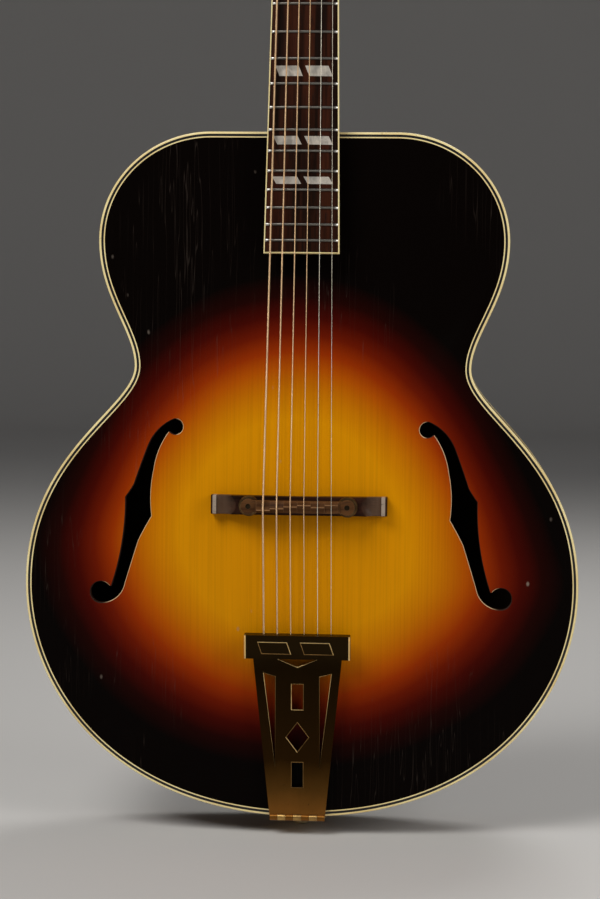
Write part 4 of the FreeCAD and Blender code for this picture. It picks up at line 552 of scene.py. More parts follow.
def sunburst_spruce(f):
    """Amber spruce that shades through red to black, under aged lacquer with checks and dings."""
    c = colours()
    wander = f.grain(9, 9, 6, 3.0)
    radius = burst_radius(f, width=0.1205, up=0.136, down=0.129, middle=0.240, spread=0.0252, lean=0.006)
    radius = radius + (wander - 0.5) * 0.08
    lines = f.grain(640, 60, 5, 3.0, 0.65)
    broad = f.grain(140, 20, 2.2)
    stops = [
        (0.0, c.amber),
        (0.39, c.amber),
        (0.485, between(c.amber, c.orange, 0.42)),
        (0.564, between(c.amber, c.orange, 0.83)),
        (0.618, between(c.orange, c.red, 0.32)),
        (0.679, between(c.orange, c.red, 0.88)),
        (0.74, between(c.red, c.edge, 0.5)),
        (0.806, between(c.red, c.edge, 0.89)),
        (0.88, c.edge),
    ]
    burst = f.ramp(radius / 1.65, stops)
    streak = (lines.step(0.42, 0.62) * 0.20 + broad.step(0.4, 0.75) * 0.10) * radius.step(1.2, 0.8)
    shaded = f.mix(streak, burst, f.mix(0.45, burst, (0.05, 0.012, 0.002)))
    checks = abs(f.grain(260, 10, 8, 1.0) - 0.5).step(0.012, 0.0)
    patches = f.grain(16, 14, 8).step(0.48, 0.62)
    crack = checks * patches * radius.step(0.75, 1.15)
    dings = f.cells(62, 20, 40).step(0.10, 0.03)
    rare = f.grain(31, 11, 23).step(0.60, 0.68)
    scar = dings * rare
    wear_and_highlight = f.mix(crack * 0.14, shaded, (0.10, 0.075, 0.06))
    marked = f.mix(scar * 0.55, wear_and_highlight, (0.30, 0.24, 0.19))
    relief = lines * 0.5 - crack * 0.9 - scar * 1.2
    rough = lines * 0.06 + wander * 0.10 + scar * 0.2 + 0.24
    f.look(marked, rough, f.bump(relief, 0.00012, 0.35), IOR=1.48, Specular_IOR_Level=0.03)


def flamed(f, along, across, stretch):
    """Flame figure of maple: soft bands across the grain that wander, widen and fade, between 0 and 1."""
    sway = f.noise(f.vector(across * 13, f.y * 13, along * 8))
    bands = f.noise(f.vector(across * 8, sway * 1.5, along * stretch + sway * 5.0), 2.0, 0.55)
    fade = f.noise(f.vector(across * 30, f.y * 30, along * 18)).step(0.25, 0.6)
    return (bands.step(0.30, 0.70) - 0.5) * (fade * 0.6 + 0.4) + 0.5


def figured_back(f):
    """Book-matched flamed maple with a darker burst towards the rim."""
    f.feed(Coat_Weight=0.5, Coat_Roughness=0.10, IOR=1.48)
    flame = flamed(f, f.z + abs(f.x) * 0.18, abs(f.x), 190)
    radius = burst_radius(f, width=0.150, up=0.200, down=0.160, middle=0.250)
    pores = f.grain(900, 300, 40)
    middle = f.mix(flame, (0.155, 0.048, 0.010), (0.32, 0.115, 0.024))
    rim = f.mix(flame, (0.010, 0.004, 0.003), (0.026, 0.009, 0.005))
    shade = f.mix(radius.step(0.55, 1.25), middle, rim)
    seam = abs(f.x).step(0.0009, 0.0003)
    seamed = f.mix(seam * 0.6, shade, (0.02, 0.008, 0.004))
    colour = f.mix(pores.step(0.62, 0.72) * 0.35, seamed, (0.02, 0.008, 0.004))
    f.look(colour, flame * -0.05 + pores * 0.08 + 0.22, f.bump(pores - seam * 2, 0.00006, 0.3))


def figured_ribs(f):
    """Flamed maple of the sides, dark towards both bindings."""
    f.feed(Coat_Weight=0.5, Coat_Roughness=0.10, IOR=1.48)
    run = f.z + abs(f.x) * 0.9
    flame = flamed(f, run, f.y * 0.5, 190)
    pores = f.grain(300, 900, 60)
    middle = f.mix(flame, (0.055, 0.015, 0.005), (0.150, 0.046, 0.012))
    rim = f.mix(flame, (0.008, 0.003, 0.002), (0.020, 0.007, 0.004))
    shade = f.mix(abs(f.y).step(0.008, 0.034), middle, rim)
    f.look(shade, pores * 0.10 + 0.22, f.bump(pores, 0.00006, 0.3))


def neck_maple(f):
    """Dark stained neck, browner where the hand has polished it."""
    f.feed(Coat_Weight=0.2, Coat_Roughness=0.22, IOR=1.48)
    grain = f.grain(420, 420, 9, 3.0, 0.6)
    wear_and_highlight = f.grain(20, 20, 6)
    hand = f.z.step(0.58, 0.66) * f.z.step(0.93, 0.86)
    dark = f.mix(grain, (0.012, 0.005, 0.003), (0.030, 0.011, 0.006))
    brown = f.mix(grain, (0.060, 0.019, 0.007), (0.140, 0.048, 0.016))
    share = hand * (wear_and_highlight * 0.6 + 0.4)
    soft, edge = f.softened(0.0012)
    toned = f.mix(share, dark, brown)
    # Painted highlight: lighter along the edges, in patches
    colour = f.mix(edge * wear_and_highlight.step(0.45, 0.7) * 0.6, toned, (0.16, 0.07, 0.03))
    f.look(colour, wear_and_highlight * 0.12 + grain * 0.06 + 0.20, f.bump(grain, 0.00006, 0.3, soft))


def bare_wood(f):
    """Unfinished wood inside the body, painted dark as its shade, with grain and darker patches."""
    f.feed(Roughness=0.85, Specular_IOR_Level=0.05)
    grain = f.grain(500, 300, 6, 3.0, 0.6)
    stain = f.grain(16, 16, 9)
    # Painted shade: the inside is coloured near black
    pale = f.mix(grain.step(0.35, 0.7), (0.022, 0.013, 0.007), (0.014, 0.008, 0.004))
    f.feed(
        Base_Color=f.mix(stain * 0.5, pale, (0.006, 0.0035, 0.002)),
        Normal=f.bump(grain, 0.0001, 0.4),
    )


def cut_edge(f):
    """Edge of the sound holes: dark walls, and a painted highlight that makes the brim pale on the flanks
    nearer the middle.
    """
    f.feed(Roughness=0.6, Specular_IOR_Level=0.2)
    layers = f.grain(300, 1500, 60)
    sideways, forwards = f.split(f.node("ShaderNodeNewGeometry", output="Normal"))[:2]
    brim = forwards.step(-0.25, -0.55)
    # Painted highlight: the brim is pale on the flanks nearer the middle
    highlit = brim * (sideways * f.math("SIGN", f.x)).step(0.1, 0.4)
    brown = f.mix(layers, (0.030, 0.010, 0.004), (0.012, 0.005, 0.002))
    f.feed(
        Base_Color=f.mix(highlit * (layers * 0.3 + 0.7), brown, (0.72, 0.50, 0.27)),
        Normal=f.bump(layers, 0.00008, 0.4),
    )


def cream_binding(f):
    """Celluloid yellowed unevenly, with fine specks of grime."""
    c = colours()
    f.feed(Coat_Weight=0.2, Coat_Roughness=0.2, IOR=1.5, Subsurface_Weight=0.08)
    f.feed(Subsurface_Radius=(0.002, 0.0014, 0.0007))
    age = f.grain(26, 26, 26, 3.0)
    specks = f.grain(420, 420, 420)
    toned = f.mix(age.step(0.35, 0.75), c.cream, (0.76, 0.57, 0.24))
    colour = f.mix(specks.step(0.66, 0.78) * 0.45, toned, (0.30, 0.18, 0.06))
    f.look(colour, age * 0.18 + 0.24, f.bump(specks, 0.00005, 0.25))


def black_line(f):
    """Black celluloid strip."""
    specks = f.grain(500, 500, 500)
    colour = f.mix(specks.step(0.6, 0.8) * 0.3, (0.006, 0.005, 0.005), (0.05, 0.04, 0.03))
    f.look(colour, specks * 0.2 + 0.25, IOR=1.5)


def rosewood_board(f):
    """Open-pored rosewood with streaks along the neck."""
    c = colours()
    f.feed(IOR=1.45, Specular_IOR_Level=0.06)
    streak = f.grain(170, 60, 5, 4.0, 0.6)
    pores = f.grain(1500, 700, 45).step(0.60, 0.70)
    base = f.mix(streak.step(0.38, 0.68), c.rosewood, (0.044, 0.011, 0.0045))
    colour = f.mix(pores * 0.8, base, (0.008, 0.004, 0.003))
    f.look(colour, pores * 0.25 + streak * 0.12 + 0.34, f.bump(streak * 0.3 - pores, 0.00012, 0.5))


def bridge_grain(f, dark, pale):
    """Rosewood with its grain across the body; gives its streaked colour and its open pores."""
    f.feed(IOR=1.45, Specular_IOR_Level=0.08)
    streak = f.grain(7, 160, 210, 4.0, 0.6)
    pores = f.grain(60, 900, 1500).step(0.60, 0.70)
    f.feed(
        Roughness=pores * 0.2 + streak * 0.1 + 0.28,
        Normal=f.bump(streak * 0.3 - pores, 0.0001, 0.5),
    )
    return f.mix(streak.step(0.25, 0.7), dark, pale), pores


def rosewood_base(f):
    """Bridge base: the scooped wings get a painted pale sheen and the lands at their ends a painted
    reflection.
    """
    grain, pores = bridge_grain(f, colours().rosewood, (0.040, 0.014, 0.008))
    reach = abs(f.x)
    across = (f.z - BRIDGE_MIDDLE) / BRIDGE_HALF_WIDTH
    start = across * across * WING_BOW + WING_START
    # Painted sheen: the scoops grow paler towards the wing ends
    scoop = (reach - start).step(0.0, 0.0008) * reach.step(WING_END, WING_END - 0.0006)
    # Painted reflection: the lands at the wing ends are pale
    land = reach.step(WING_END - 0.0002, WING_END + 0.0004)
    land = land * reach.step(WING_END + 0.0034, WING_END + 0.0026)
    highlit = f.grain(260, 90, 60, 3.0)
    sheen = f.mix(highlit, (0.072, 0.038, 0.021), (0.155, 0.094, 0.060))
    winged = f.mix(scoop * reach.step(WING_START - 0.006, WING_END) * 0.85, grain, sheen)
    wear_and_highlight = f.mix(land * 0.9, winged, (0.38, 0.30, 0.23))
    f.feed(Base_Color=f.mix(pores * 0.6, wear_and_highlight, (0.010, 0.005, 0.003)))


def rosewood_saddle(f):
    """Saddle bar, browner than the base, with a painted highlight along its edges."""
    grain, pores = bridge_grain(f, (0.035, 0.013, 0.005), (0.115, 0.048, 0.016))
    edge = f.softened(0.0005)[1]
    # Painted highlight: paler along the edges
    highlit = f.mix(edge * 0.6, grain, (0.22, 0.11, 0.05))
    f.feed(Base_Color=f.mix(pores * 0.6, highlit, (0.010, 0.005, 0.003)))


def rubbed_rosewood(f):
    """Crests of the saddle: a pale painted highlight."""
    grain, pores = bridge_grain(f, (0.12, 0.055, 0.022), (0.30, 0.16, 0.075))
    f.feed(Base_Color=f.mix(pores * 0.5, grain, (0.03, 0.012, 0.006)))


def pearl_shell(f):
    """Pearl with drifting grey and warm clouds."""
    c = colours()
    f.feed(Coat_Weight=0.5, Coat_Roughness=0.06, IOR=1.53)
    sway = f.grain(60, 60, 60)
    cloud = f.noise(f.vector(f.x * 170 + sway * 3, f.y * 170, f.z * 90 + sway * 2), 3.0, 0.6)
    warm = f.grain(210, 210, 120)
    grey = f.mix(cloud.step(0.3, 0.7), c.pearl, (0.31, 0.285, 0.25))
    f.feed(
        Base_Color=f.mix(warm.step(0.5, 0.75) * 0.5, grey, (0.70, 0.60, 0.50)),
        Roughness=cloud * 0.18 + 0.14,
        Metallic=0.15,
    )


def worn_gold(f):
    """Gold plate gone brown in patches, with a painted highlight on its edges, fine brush lines and pits."""
    c = colours()
    f.feed(Metallic=1.0)
    tarnish = f.grain(45, 45, 34, 4.0, 0.6)
    brush = f.grain(1600, 500, 40)
    pits = f.grain(700, 700, 700).step(0.66, 0.76)
    soft, edge = f.softened(0.0004)
    dull = f.mix(tarnish.step(0.35, 0.75), c.gold, (0.30, 0.165, 0.055))
    # Painted highlight: bright gold along the edges
    highlit = f.mix(edge * 0.8, dull, (0.92, 0.68, 0.33))
    colour = f.mix(pits * 0.6, highlit, (0.10, 0.055, 0.02))
    relief = f.bump(brush - pits * 1.5, 0.00004, 0.35, soft)
    f.look(colour, tarnish * 0.22 + brush * 0.10 + pits * 0.2 + 0.16, relief)


def tarnished_gold(f):
    """Plate of the tailpiece: a painted reflection, brown, darkest at the string bar and lighter towards the
    hinge, wavering with tarnish clouds.
    """
    f.feed(Metallic=1.0)
    cloud = f.grain(30, 30, 18, 4.0, 0.6)
    brush = f.grain(1600, 500, 40)
    pits = f.grain(500, 500, 500).step(0.68, 0.78)
    # Painted reflection: the ramp by height is lighter towards the hinge and darkest at the string bar
    height = f.z + (cloud - 0.5) * 0.02
    painted_reflection = f.ramp(
        height / 0.16,
        [
            (0.125, (0.255, 0.105, 0.020)),
            (0.225, (0.12, 0.055, 0.011)),
            (0.375, (0.030, 0.0135, 0.003)),
            (0.83, (0.0135, 0.0072, 0.002)),
            (0.93, (0.021, 0.012, 0.004)),
        ],
    )
    colour = f.mix(pits * 0.5, painted_reflection, (0.02, 0.011, 0.005))
    f.look(colour, cloud * 0.20 + brush * 0.10 + pits * 0.2 + 0.20, f.bump(brush - pits * 1.5, 0.00004, 0.35))


def rubbed_gold(f, bright, dark):
    """Gold of the tailpiece's edges between a light and a dark tone, with duller stretches and hair
    scratches.
    """
    dull = f.grain(90, 90, 60, 3.0)
    hair = f.grain(900, 900, 900)
    colour = f.mix(dull.step(0.45, 0.75), bright, dark)
    f.look(colour, dull * 0.2 + hair * 0.1 + 0.22, f.bump(hair, 0.00003, 0.3), Metallic=1.0)


def bright_gold(f):
    """Edges of the tailpiece on the sides that face the light: a painted highlight."""
    rubbed_gold(f, (0.95, 0.66, 0.28), (0.55, 0.34, 0.12))


def dim_gold(f):
    """Edges of the tailpiece on the sides away from the light: painted shade."""
    rubbed_gold(f, (0.24, 0.135, 0.045), (0.11, 0.058, 0.018))


def aged_brass(f):
    """Dull brass of the bridge hardware."""
    tarnish = f.grain(120, 120, 120, 4.0, 0.6)
    pits = f.grain(900, 900, 900)
    dull = f.mix(tarnish.step(0.3, 0.7), (0.24, 0.15, 0.06), (0.09, 0.05, 0.022))
    f.look(dull, tarnish * 0.25 + pits * 0.1 + 0.22, f.bump(pits, 0.00004, 0.35), Metallic=1.0)


def dark_stud(f):
    """Threaded studs of the bridge, blackened by age."""
    thread = f.math("SINE", f.y * (TAU / 0.0008)) * 0.5 + 0.5
    soot = f.grain(400, 400, 400, 3.0)
    colour = f.mix(soot, (0.012, 0.009, 0.006), (0.06, 0.04, 0.02))
    f.look(colour, soot * 0.2 + 0.4, f.bump(thread, 0.0002, 0.6), Metallic=1.0)


def bright_steel(f):
    """Fret wire, dull along its length and bright at its filed ends, with hair scratches."""
    c = colours()
    hair = f.grain(300, 1800, 1800)
    dull = f.grain(90, 90, 60)
    taper = (sizes().board_end - sizes().board_nut) / 2 / (NECK_TO_NUT - BOARD_TAIL)
    half = (f.z - NECK_ORIGIN[2] - NECK_TO_NUT) * -taper + sizes().board_nut / 2
    filed = (half - abs(f.x)).step(0.0042, 0.0016)
    tone = f.mix(dull.step(0.4, 0.8) * 0.5, c.steel, (0.12, 0.105, 0.09))
    colour = f.mix(filed, tone, (0.80, 0.77, 0.70))
    f.look(colour, hair * 0.14 + dull * 0.12 + 0.24, f.bump(hair, 0.00002, 0.3), Metallic=1.0)


def plain_wire(f):
    """Plain string wire, bright with duller stretches."""
    dull = f.grain(90, 90, 60)
    colour = f.mix(dull.step(0.4, 0.8) * 0.5, (0.92, 0.85, 0.68), (0.64, 0.57, 0.44))
    f.look(colour, dull * 0.15 + 0.18, Metallic=0.6)


def bronze_winding(f):
    """Bronze wire wound round a core: ridges run across the string's length, read from its own UV map."""
    c = colours()
    where = f.node("ShaderNodeUVMap", {"uv_map": "length_and_turn"})
    along, turn = f.split(where)[:2]
    wind = f.math("SINE", along * (TAU / 0.00036) + turn * TAU) * 0.5 + 0.5
    age = f.grain(40, 40, 30, 3.0)
    toned = f.mix(age.step(0.4, 0.75) * 0.5, c.bronze, (0.62, 0.36, 0.20))
    # Painted shade: darker in the grooves between the turns
    colour = f.mix(wind.step(0.35, 0.0) * 0.7, toned, (0.12, 0.06, 0.03))
    f.look(colour, age * 0.2 + 0.24, f.bump(wind, 0.00012, 0.7), Metallic=0.55)


def polished_bone(f):
    """Bone with faint lengthwise streaks."""
    f.feed(Coat_Weight=0.2, Coat_Roughness=0.15, Subsurface_Weight=0.1)
    f.feed(Subsurface_Radius=(0.002, 0.0015, 0.001))
    streak = f.grain(60, 500, 500, 3.0)
    colour = f.mix(streak, (0.78, 0.68, 0.48), (0.60, 0.47, 0.28))
    f.look(colour, streak * 0.15 + 0.3, f.bump(streak, 0.00004, 0.3))


def black_lacquer(f):
    """Deep black lacquer with fine swirl marks."""
    f.feed(Coat_Weight=0.05, Coat_Roughness=0.12, IOR=1.48, Specular_IOR_Level=0.08)
    swirl = f.grain(90, 90, 26, 4.0, 0.6)
    haze = f.grain(15, 15, 15)
    soft, edge = f.softened(0.0006)
    black = f.mix(swirl.step(0.55, 0.8) * 0.4, (0.005, 0.004, 0.004), (0.030, 0.022, 0.018))
    # Painted highlight: brown along the edges, in patches
    colour = f.mix(edge * haze.step(0.45, 0.65) * 0.6, black, (0.12, 0.08, 0.05))
    f.look(colour, swirl * 0.12 + haze * 0.14 + 0.20, f.bump(swirl, 0.00003, 0.25, soft))


def black_plastic(f):
    """Black plastic cover with scuffed patches and a painted highlight along its edges."""
    rub = f.grain(140, 140, 140, 3.0)
    soft, edge = f.softened(0.0005)
    # Painted highlight along the edges, together with the scuffed patches
    wear_and_highlight = edge * 0.5 + rub.step(0.5, 0.8) * 0.4
    colour = f.mix(wear_and_highlight, (0.010, 0.009, 0.009), (0.045, 0.038, 0.032))
    f.look(colour, rub * 0.25 + 0.15, f.bump(rub, 0.00004, 0.25, soft), IOR=1.5)


def dark_steel(f):
    """Plain steel of the rod in the neck."""
    mill = f.grain(700, 700, 60, 3.0)
    colour = f.mix(mill, (0.30, 0.29, 0.28), (0.16, 0.14, 0.12))
    f.look(colour, mill * 0.3 + 0.3, Metallic=1.0)


def cream_pin(f):
    """Turned cream plastic, darker in its waist."""
    f.feed(Coat_Weight=0.2, Coat_Roughness=0.2, IOR=1.5, Subsurface_Weight=0.1)
    f.feed(Subsurface_Radius=(0.003, 0.002, 0.001))
    age = f.grain(130, 130, 130, 3.0)
    waist = f.z.step(0.0062, 0.0085)
    toned = f.mix(age, (0.86, 0.74, 0.48), (0.70, 0.55, 0.30))
    colour = f.mix(waist * 0.5, toned, (0.25, 0.15, 0.05))
    f.look(colour, age * 0.2 + 0.25, f.bump(age, 0.00005, 0.25))


def studio_floor(f):
    """Plain pale floor."""
    f.feed(Roughness=0.7)
    cloud = f.grain(0.8, 0.8, 0.8)
    pale = colours().floor
    f.feed(Base_Color=f.mix(cloud * 0.15, pale, [0.85 * part for part in pale]))


# Pieces


def reworked(mesh, change):
    """Change a mesh by a function of its editable form."""
    work = bmesh.new()
    work.from_mesh(mesh)
    change(work)
    work.to_mesh(mesh)
    work.free()


def linked(name, data):
    """New object of the scene."""
    made = bpy.data.objects.new(name, data)
    bpy.context.scene.collection.objects.link(made)
    return made


def solid(name, surface):
    """New object with the mesh of a closed surface, its faces turned outwards."""
    vertices, faces = surface
    mesh = bpy.data.meshes.new(name)
    mesh.from_pydata(vertices.tolist(), [], faces)
    reworked(mesh, lambda work: bmesh.ops.recalc_face_normals(work, faces=work.faces))
    return linked(name, mesh)


def painted(mesh, makers):
    """Give a mesh its finishes in place of any others."""
    mesh.materials.clear()
    for maker in makers:
        mesh.materials.append(finish(maker))


def dressed(piece, name, makers, replaces, body, sharp):
    """Smooth the mesh up to an angle, give it its finishes, hide the nodes it replaces, and parent the piece
    to its body.

    A body is a name, or else two names with two points, and then the piece only has its transform applied.
    """
    piece.name = name
    mesh = piece.data
    mesh.name = name
    mesh.shade_smooth()
    mesh.set_sharp_from_angle(angle=math.radians(sharp))
    painted(mesh, makers)
    if replaces:
        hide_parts(*replaces)
    if isinstance(body, str):
        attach(piece, body)
    else:
        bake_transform(piece)
    return piece


def build(name, surface, makers, replaces=(), body=BODY, sharp=40):
    """New piece from vertices and faces."""
    return dressed(solid(name, surface), name, makers, replaces, body, sharp)


def refined(node, maker, body=BODY, sharp=32):
    """Merged copy of a solid's mesh, smooth up to an angle; it stands for the solid."""
    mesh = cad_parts[node].data.copy()
    reworked(mesh, lambda work: bmesh.ops.remove_doubles(work, verts=work.verts, dist=SAME_PLACE))
    stored = mesh.attributes.get("custom_normal")
    if stored:
        mesh.attributes.remove(stored)
    return dressed(linked(node, mesh), node + "_fine", [maker], (node,), body, sharp)


def rectangle(left, right, low, high):
    """Corners of an upright rectangle."""
    return np.array([(left, low), (right, low), (right, high), (left, high)])


def mitred(loop, distance):
    """Closed polygon moved outwards by mitring its corners.

    A corner moves along the sum of its edges' normals over 1 plus their product. That divisor has a least
    value, so that a sharp tip doesn't run out.
    """
    least = 0.35
    way = unit(np.roll(loop, -1, axis=0) - loop)
    normal = np.stack([way[:, 1], -way[:, 0]], axis=1) * winding(loop)
    before = np.roll(normal, 1, axis=0)
    lean = np.maximum(1 + np.sum(normal * before, axis=1), least)
    return loop + distance * (normal + before) / lean[:, None]


def arc_through(first, middle, last, count):
    """Points of the circular arc through three points: centre from perpendicular bisectors, even angles."""
    a, b, c = (np.asarray(point, float) for point in (first, middle, last))
    rows = np.array([b - a, c - a])
    centre = np.linalg.solve(2 * rows, [b @ b - a @ a, c @ c - a @ a])
    start, through, end = (bearing(point, centre) for point in (a, b, c))
    span = (end - start) % TAU
    if (through - start) % TAU > span:
        span -= TAU
    return on_circle(centre, np.linalg.norm(a - centre), start + span * np.linspace(0, 1, count))


def sound_hole_loop():
    """Outline (x, z) of the treble sound hole: outer arcs, lower eye, inner arcs and upper eye.

    Each flank flares to a pointed tip. A flank's points are in turn an end of an arc and a point that the
    arc runs through, as shares of the body's width and length.
    """
    s = sizes()
    size = np.array([s.lower_bout, s.body])
    outer_flank = [(0.2290, 0.5829), (0.2581, 0.5666), (0.2768, 0.5422), (0.2893, 0.5148), (0.3010, 0.4872)]
    outer_flank += [(0.3074, 0.4786), (0.3168, 0.4678), (0.3207, 0.4110), (0.3423, 0.3360)]
    inner_flank = [(0.3590, 0.3114), (0.3370, 0.3174), (0.3175, 0.3416), (0.3052, 0.3740), (0.2932, 0.4049)]
    inner_flank += [(0.2826, 0.4216), (0.2690, 0.4410), (0.2712, 0.4745), (0.2660, 0.5090)]
    inner_flank += [(0.2558, 0.5400), (0.2388, 0.5645)]

    def run(flank):
        """Points of arcs that follow one another, up to the last end."""
        points = np.array(flank) * size
        starts = range(0, len(points) - 2, 2)
        return np.concatenate([arc_through(*points[start:start + 3], 17)[:-1] for start in starts])

    def eye(centre, radius, start, end, steps):
        """Arc round an eye from one point's direction to another's, clockwise in the front view."""
        middle = np.array(centre) * size
        first, last = bearing(start, middle), bearing(end, middle)
        turn = first - ((first - last) % TAU) * np.linspace(0, 1, steps)[1:-1]
        return on_circle(middle, radius, turn)

    outer, inner = run(outer_flank), run(inner_flank)
    outer_end, inner_end = outer_flank[-1] * size, inner_flank[-1] * size
    lower_eye = eye((0.3613, 0.3270), 0.0084, outer_end, inner[0], 40)
    upper_eye = eye((0.2263, 0.5718), 0.006, inner_end, outer[0], 36)
    loop = np.concatenate([outer, [outer_end], lower_eye, inner, [inner_end], upper_eye])
    return loop + np.array([0, s.tail])


def widened(loop, distance):
    """Closed loop moved outwards along its normals, which come from neighbouring points."""
    way = unit(np.roll(loop, -1, axis=0) - np.roll(loop, 1, axis=0))
    normal = np.stack([way[:, 1], -way[:, 0]], axis=1)
    return loop + distance * normal * winding(loop)


def sound_hole_cutter(side):
    """Cutter that follows the sound hole: a flare at the surface, then a straight wall through the top."""
    before_top, behind_top = -0.075, -0.020
    loop = sound_hole_loop()
    rings = []
    for wide, depth in ((0.0011, -0.0006), (0.0, 0.0005)):
        x, z = widened(loop, wide).T
        rings.append(points_of(side * x, top_level(x, z) + depth, z))
    x, z = loop.T
    rings.append(points_of(side * x, behind_top, z))
    front = rings[0].copy()
    front[:, 1] = before_top
    return skin(np.array([front] + rings))


def cut(piece, cutters):
    """Take cutters out of a piece and keep the result as its mesh."""
    for cutter in cutters:
        change = piece.modifiers.new("cut", "BOOLEAN")
        change.operation = "DIFFERENCE"
        change.solver = "EXACT"
        change.object = cutter
    view = bpy.context.evaluated_depsgraph_get()
    mesh = bpy.data.meshes.new_from_object(piece.evaluated_get(view))
    piece.modifiers.clear()
    piece.data = mesh
    for cutter in cutters:
        bpy.data.objects.remove(cutter)


def bare_side(mesh, way):
    """Give the second finish to the faces that look backwards (way 1) or forwards (way -1)."""
    normals = np.zeros(3 * len(mesh.polygons), np.float32)
    mesh.polygons.foreach_get("normal", normals)
    mesh.polygons.foreach_set("material_index", (normals[1::3] * way > 0).astype(np.int32))


class GUITAR_OT_top(Operator):
    """Carved top with its sound holes"""

    bl_idname = "guitar.top"
    bl_label = "Carved top"

    def execute(self, context):
        s = sizes()
        inset = s.binding + s.black_line + s.cream_line + 3 * SEAM
        makers = [sunburst_spruce, bare_wood, cut_edge]
        piece = solid("uncut_top", plate(inset, top_level, inner_edge=-s.glue - SEAM, inner_rise=-0.0185))
        cutters = [solid("hole", sound_hole_cutter(side)) for side in (-1, 1)]
        for part in (*cutters, piece):
            painted(part.data, makers)
        for cutter in cutters:
            faces = cutter.data.polygons
            faces.foreach_set("material_index", np.full(len(faces), makers.index(cut_edge), np.int32))
        bare_side(piece.data, 1)
        cut(piece, cutters)
        index = np.zeros(len(piece.data.polygons), np.int32)
        piece.data.polygons.foreach_get("material_index", index)
        dressed(piece, "carved_top", makers, ("top_plate",), BODY, sharp=40)
        piece.data.polygons.foreach_set("material_index", index)
        return {"FINISHED"}


class GUITAR_OT_back(Operator):
    """Carved back"""

    bl_idname = "guitar.back"
    bl_label = "Carved back"

    def execute(self, context):
        s = sizes()
        surface = plate(s.binding + SEAM, back_level, inner_edge=s.glue + SEAM, inner_rise=0.016)
        piece = build("carved_back", surface, [figured_back, bare_wood], ("back_plate",))
        bare_side(piece.data, -1)
        return {"FINISHED"}


class GUITAR_OT_ribs(Operator):
    """Bent sides, one for each half, with their seam at the tail"""

    bl_idname = "guitar.ribs"
    bl_label = "Ribs"

    def execute(self, context):
        s = sizes()
        level = s.glue - SEAM
        outside, inside, neck_gap = 0.0004, 0.0029, 0.0138
        for side, node in ((-1, "rib_bass"), (1, "rib_treble")):
            walls = []
            for inset in (outside, inside):
                half = half_outline(inset, 60)
                half[0, 0] = SEAM
                flat = np.linspace(half[-1, 0], neck_gap, 8)[1:]
                walls.append(np.concatenate([half, np.stack([flat, 0 * flat + half[-1, 1]], axis=1)]))
            corners = [(walls[0], -level), (walls[0], level), (walls[1], level), (walls[1], -level)]
            rings = np.stack([points_of(side * w[:, 0], y, w[:, 1]) for w, y in corners], axis=1)
            build(node + "_bent", skin(rings), [figured_ribs], (node,))
        return {"FINISHED"}


class GUITAR_OT_trim(Operator):
    """Bindings of both plates and the lines inside the top binding"""

    bl_idname = "guitar.trim"
    bl_label = "Edge trim"

    def execute(self, context):
        s = sizes()
        soft, deep = 0.0007, 0.0016
        for node, rim, way in (("top_binding", s.top_rim, -1), ("back_binding", s.back_rim, 1)):
            corners = rounded_bar(0.0, s.binding, rim, way * s.glue, -way * soft)
            profile = [(abs(inset), level) for inset, level in corners]
            build(node + "_strip", band(profile), [cream_binding], (node,), sharp=50)
        start = s.binding + SEAM
        rows = [("top_purfling_black", s.black_line, black_line, "black_line")]
        rows.append(("top_purfling_cream", s.cream_line, cream_binding, "cream_binding"))
        for node, width, maker, slot in rows:
            near, far = s.top_rim, s.top_rim + deep
            profile = [(start, near), (start, far), (start + width, far), (start + width, near)]
            build(node + "_strip", band(profile), [maker], (node,), sharp=50)
            start += width + SEAM
        return {"FINISHED"}


class GUITAR_OT_inside(Operator):
    """Blocks, linings and bars inside the body"""

    bl_idname = "guitar.inside"
    bl_label = "Inside of the body"

    def execute(self, context):
        for node in ("head_block", "tail_block", "top_lining", "back_lining", "tone_bars"):
            painted(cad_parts[node].data, [bare_wood])
        return {"FINISHED"}


class GUITAR_OT_neck(Operator):
    """Neck, heel cap, headstock face and truss rod"""

    bl_idname = "guitar.neck"
    bl_label = "Neck and headstock"

    def execute(self, context):
        refined("neck", neck_maple)
        refined("heel_cap", cream_binding)
        refined("headstock_overlay", black_lacquer)
        refined("truss_rod_cover", black_plastic)
        refined("cover_screws", worn_gold)
        refined("truss_rod", dark_steel)
        refined("nut", polished_bone)
        return {"FINISHED"}


def board_width(z):
    """Width of the fingerboard at a height of the neck's frame."""
    s = sizes()
    share = (NECK_TO_NUT - z) / (NECK_TO_NUT - BOARD_TAIL)
    return s.board_nut + share * (s.board_end - s.board_nut)


def camber(x):
    """Level of the playing surface at a distance from the centre line."""
    s = sizes()
    return s.board_radius - np.sqrt(s.board_radius ** 2 - x ** 2) - s.board_thickness


def fret_station(fret):
    """Height of a fret: the scale length halves every twelve frets."""
    return NECK_TO_NUT - sizes().scale_length * (1 - 2.0 ** (-np.asarray(fret, float) / OCTAVE))


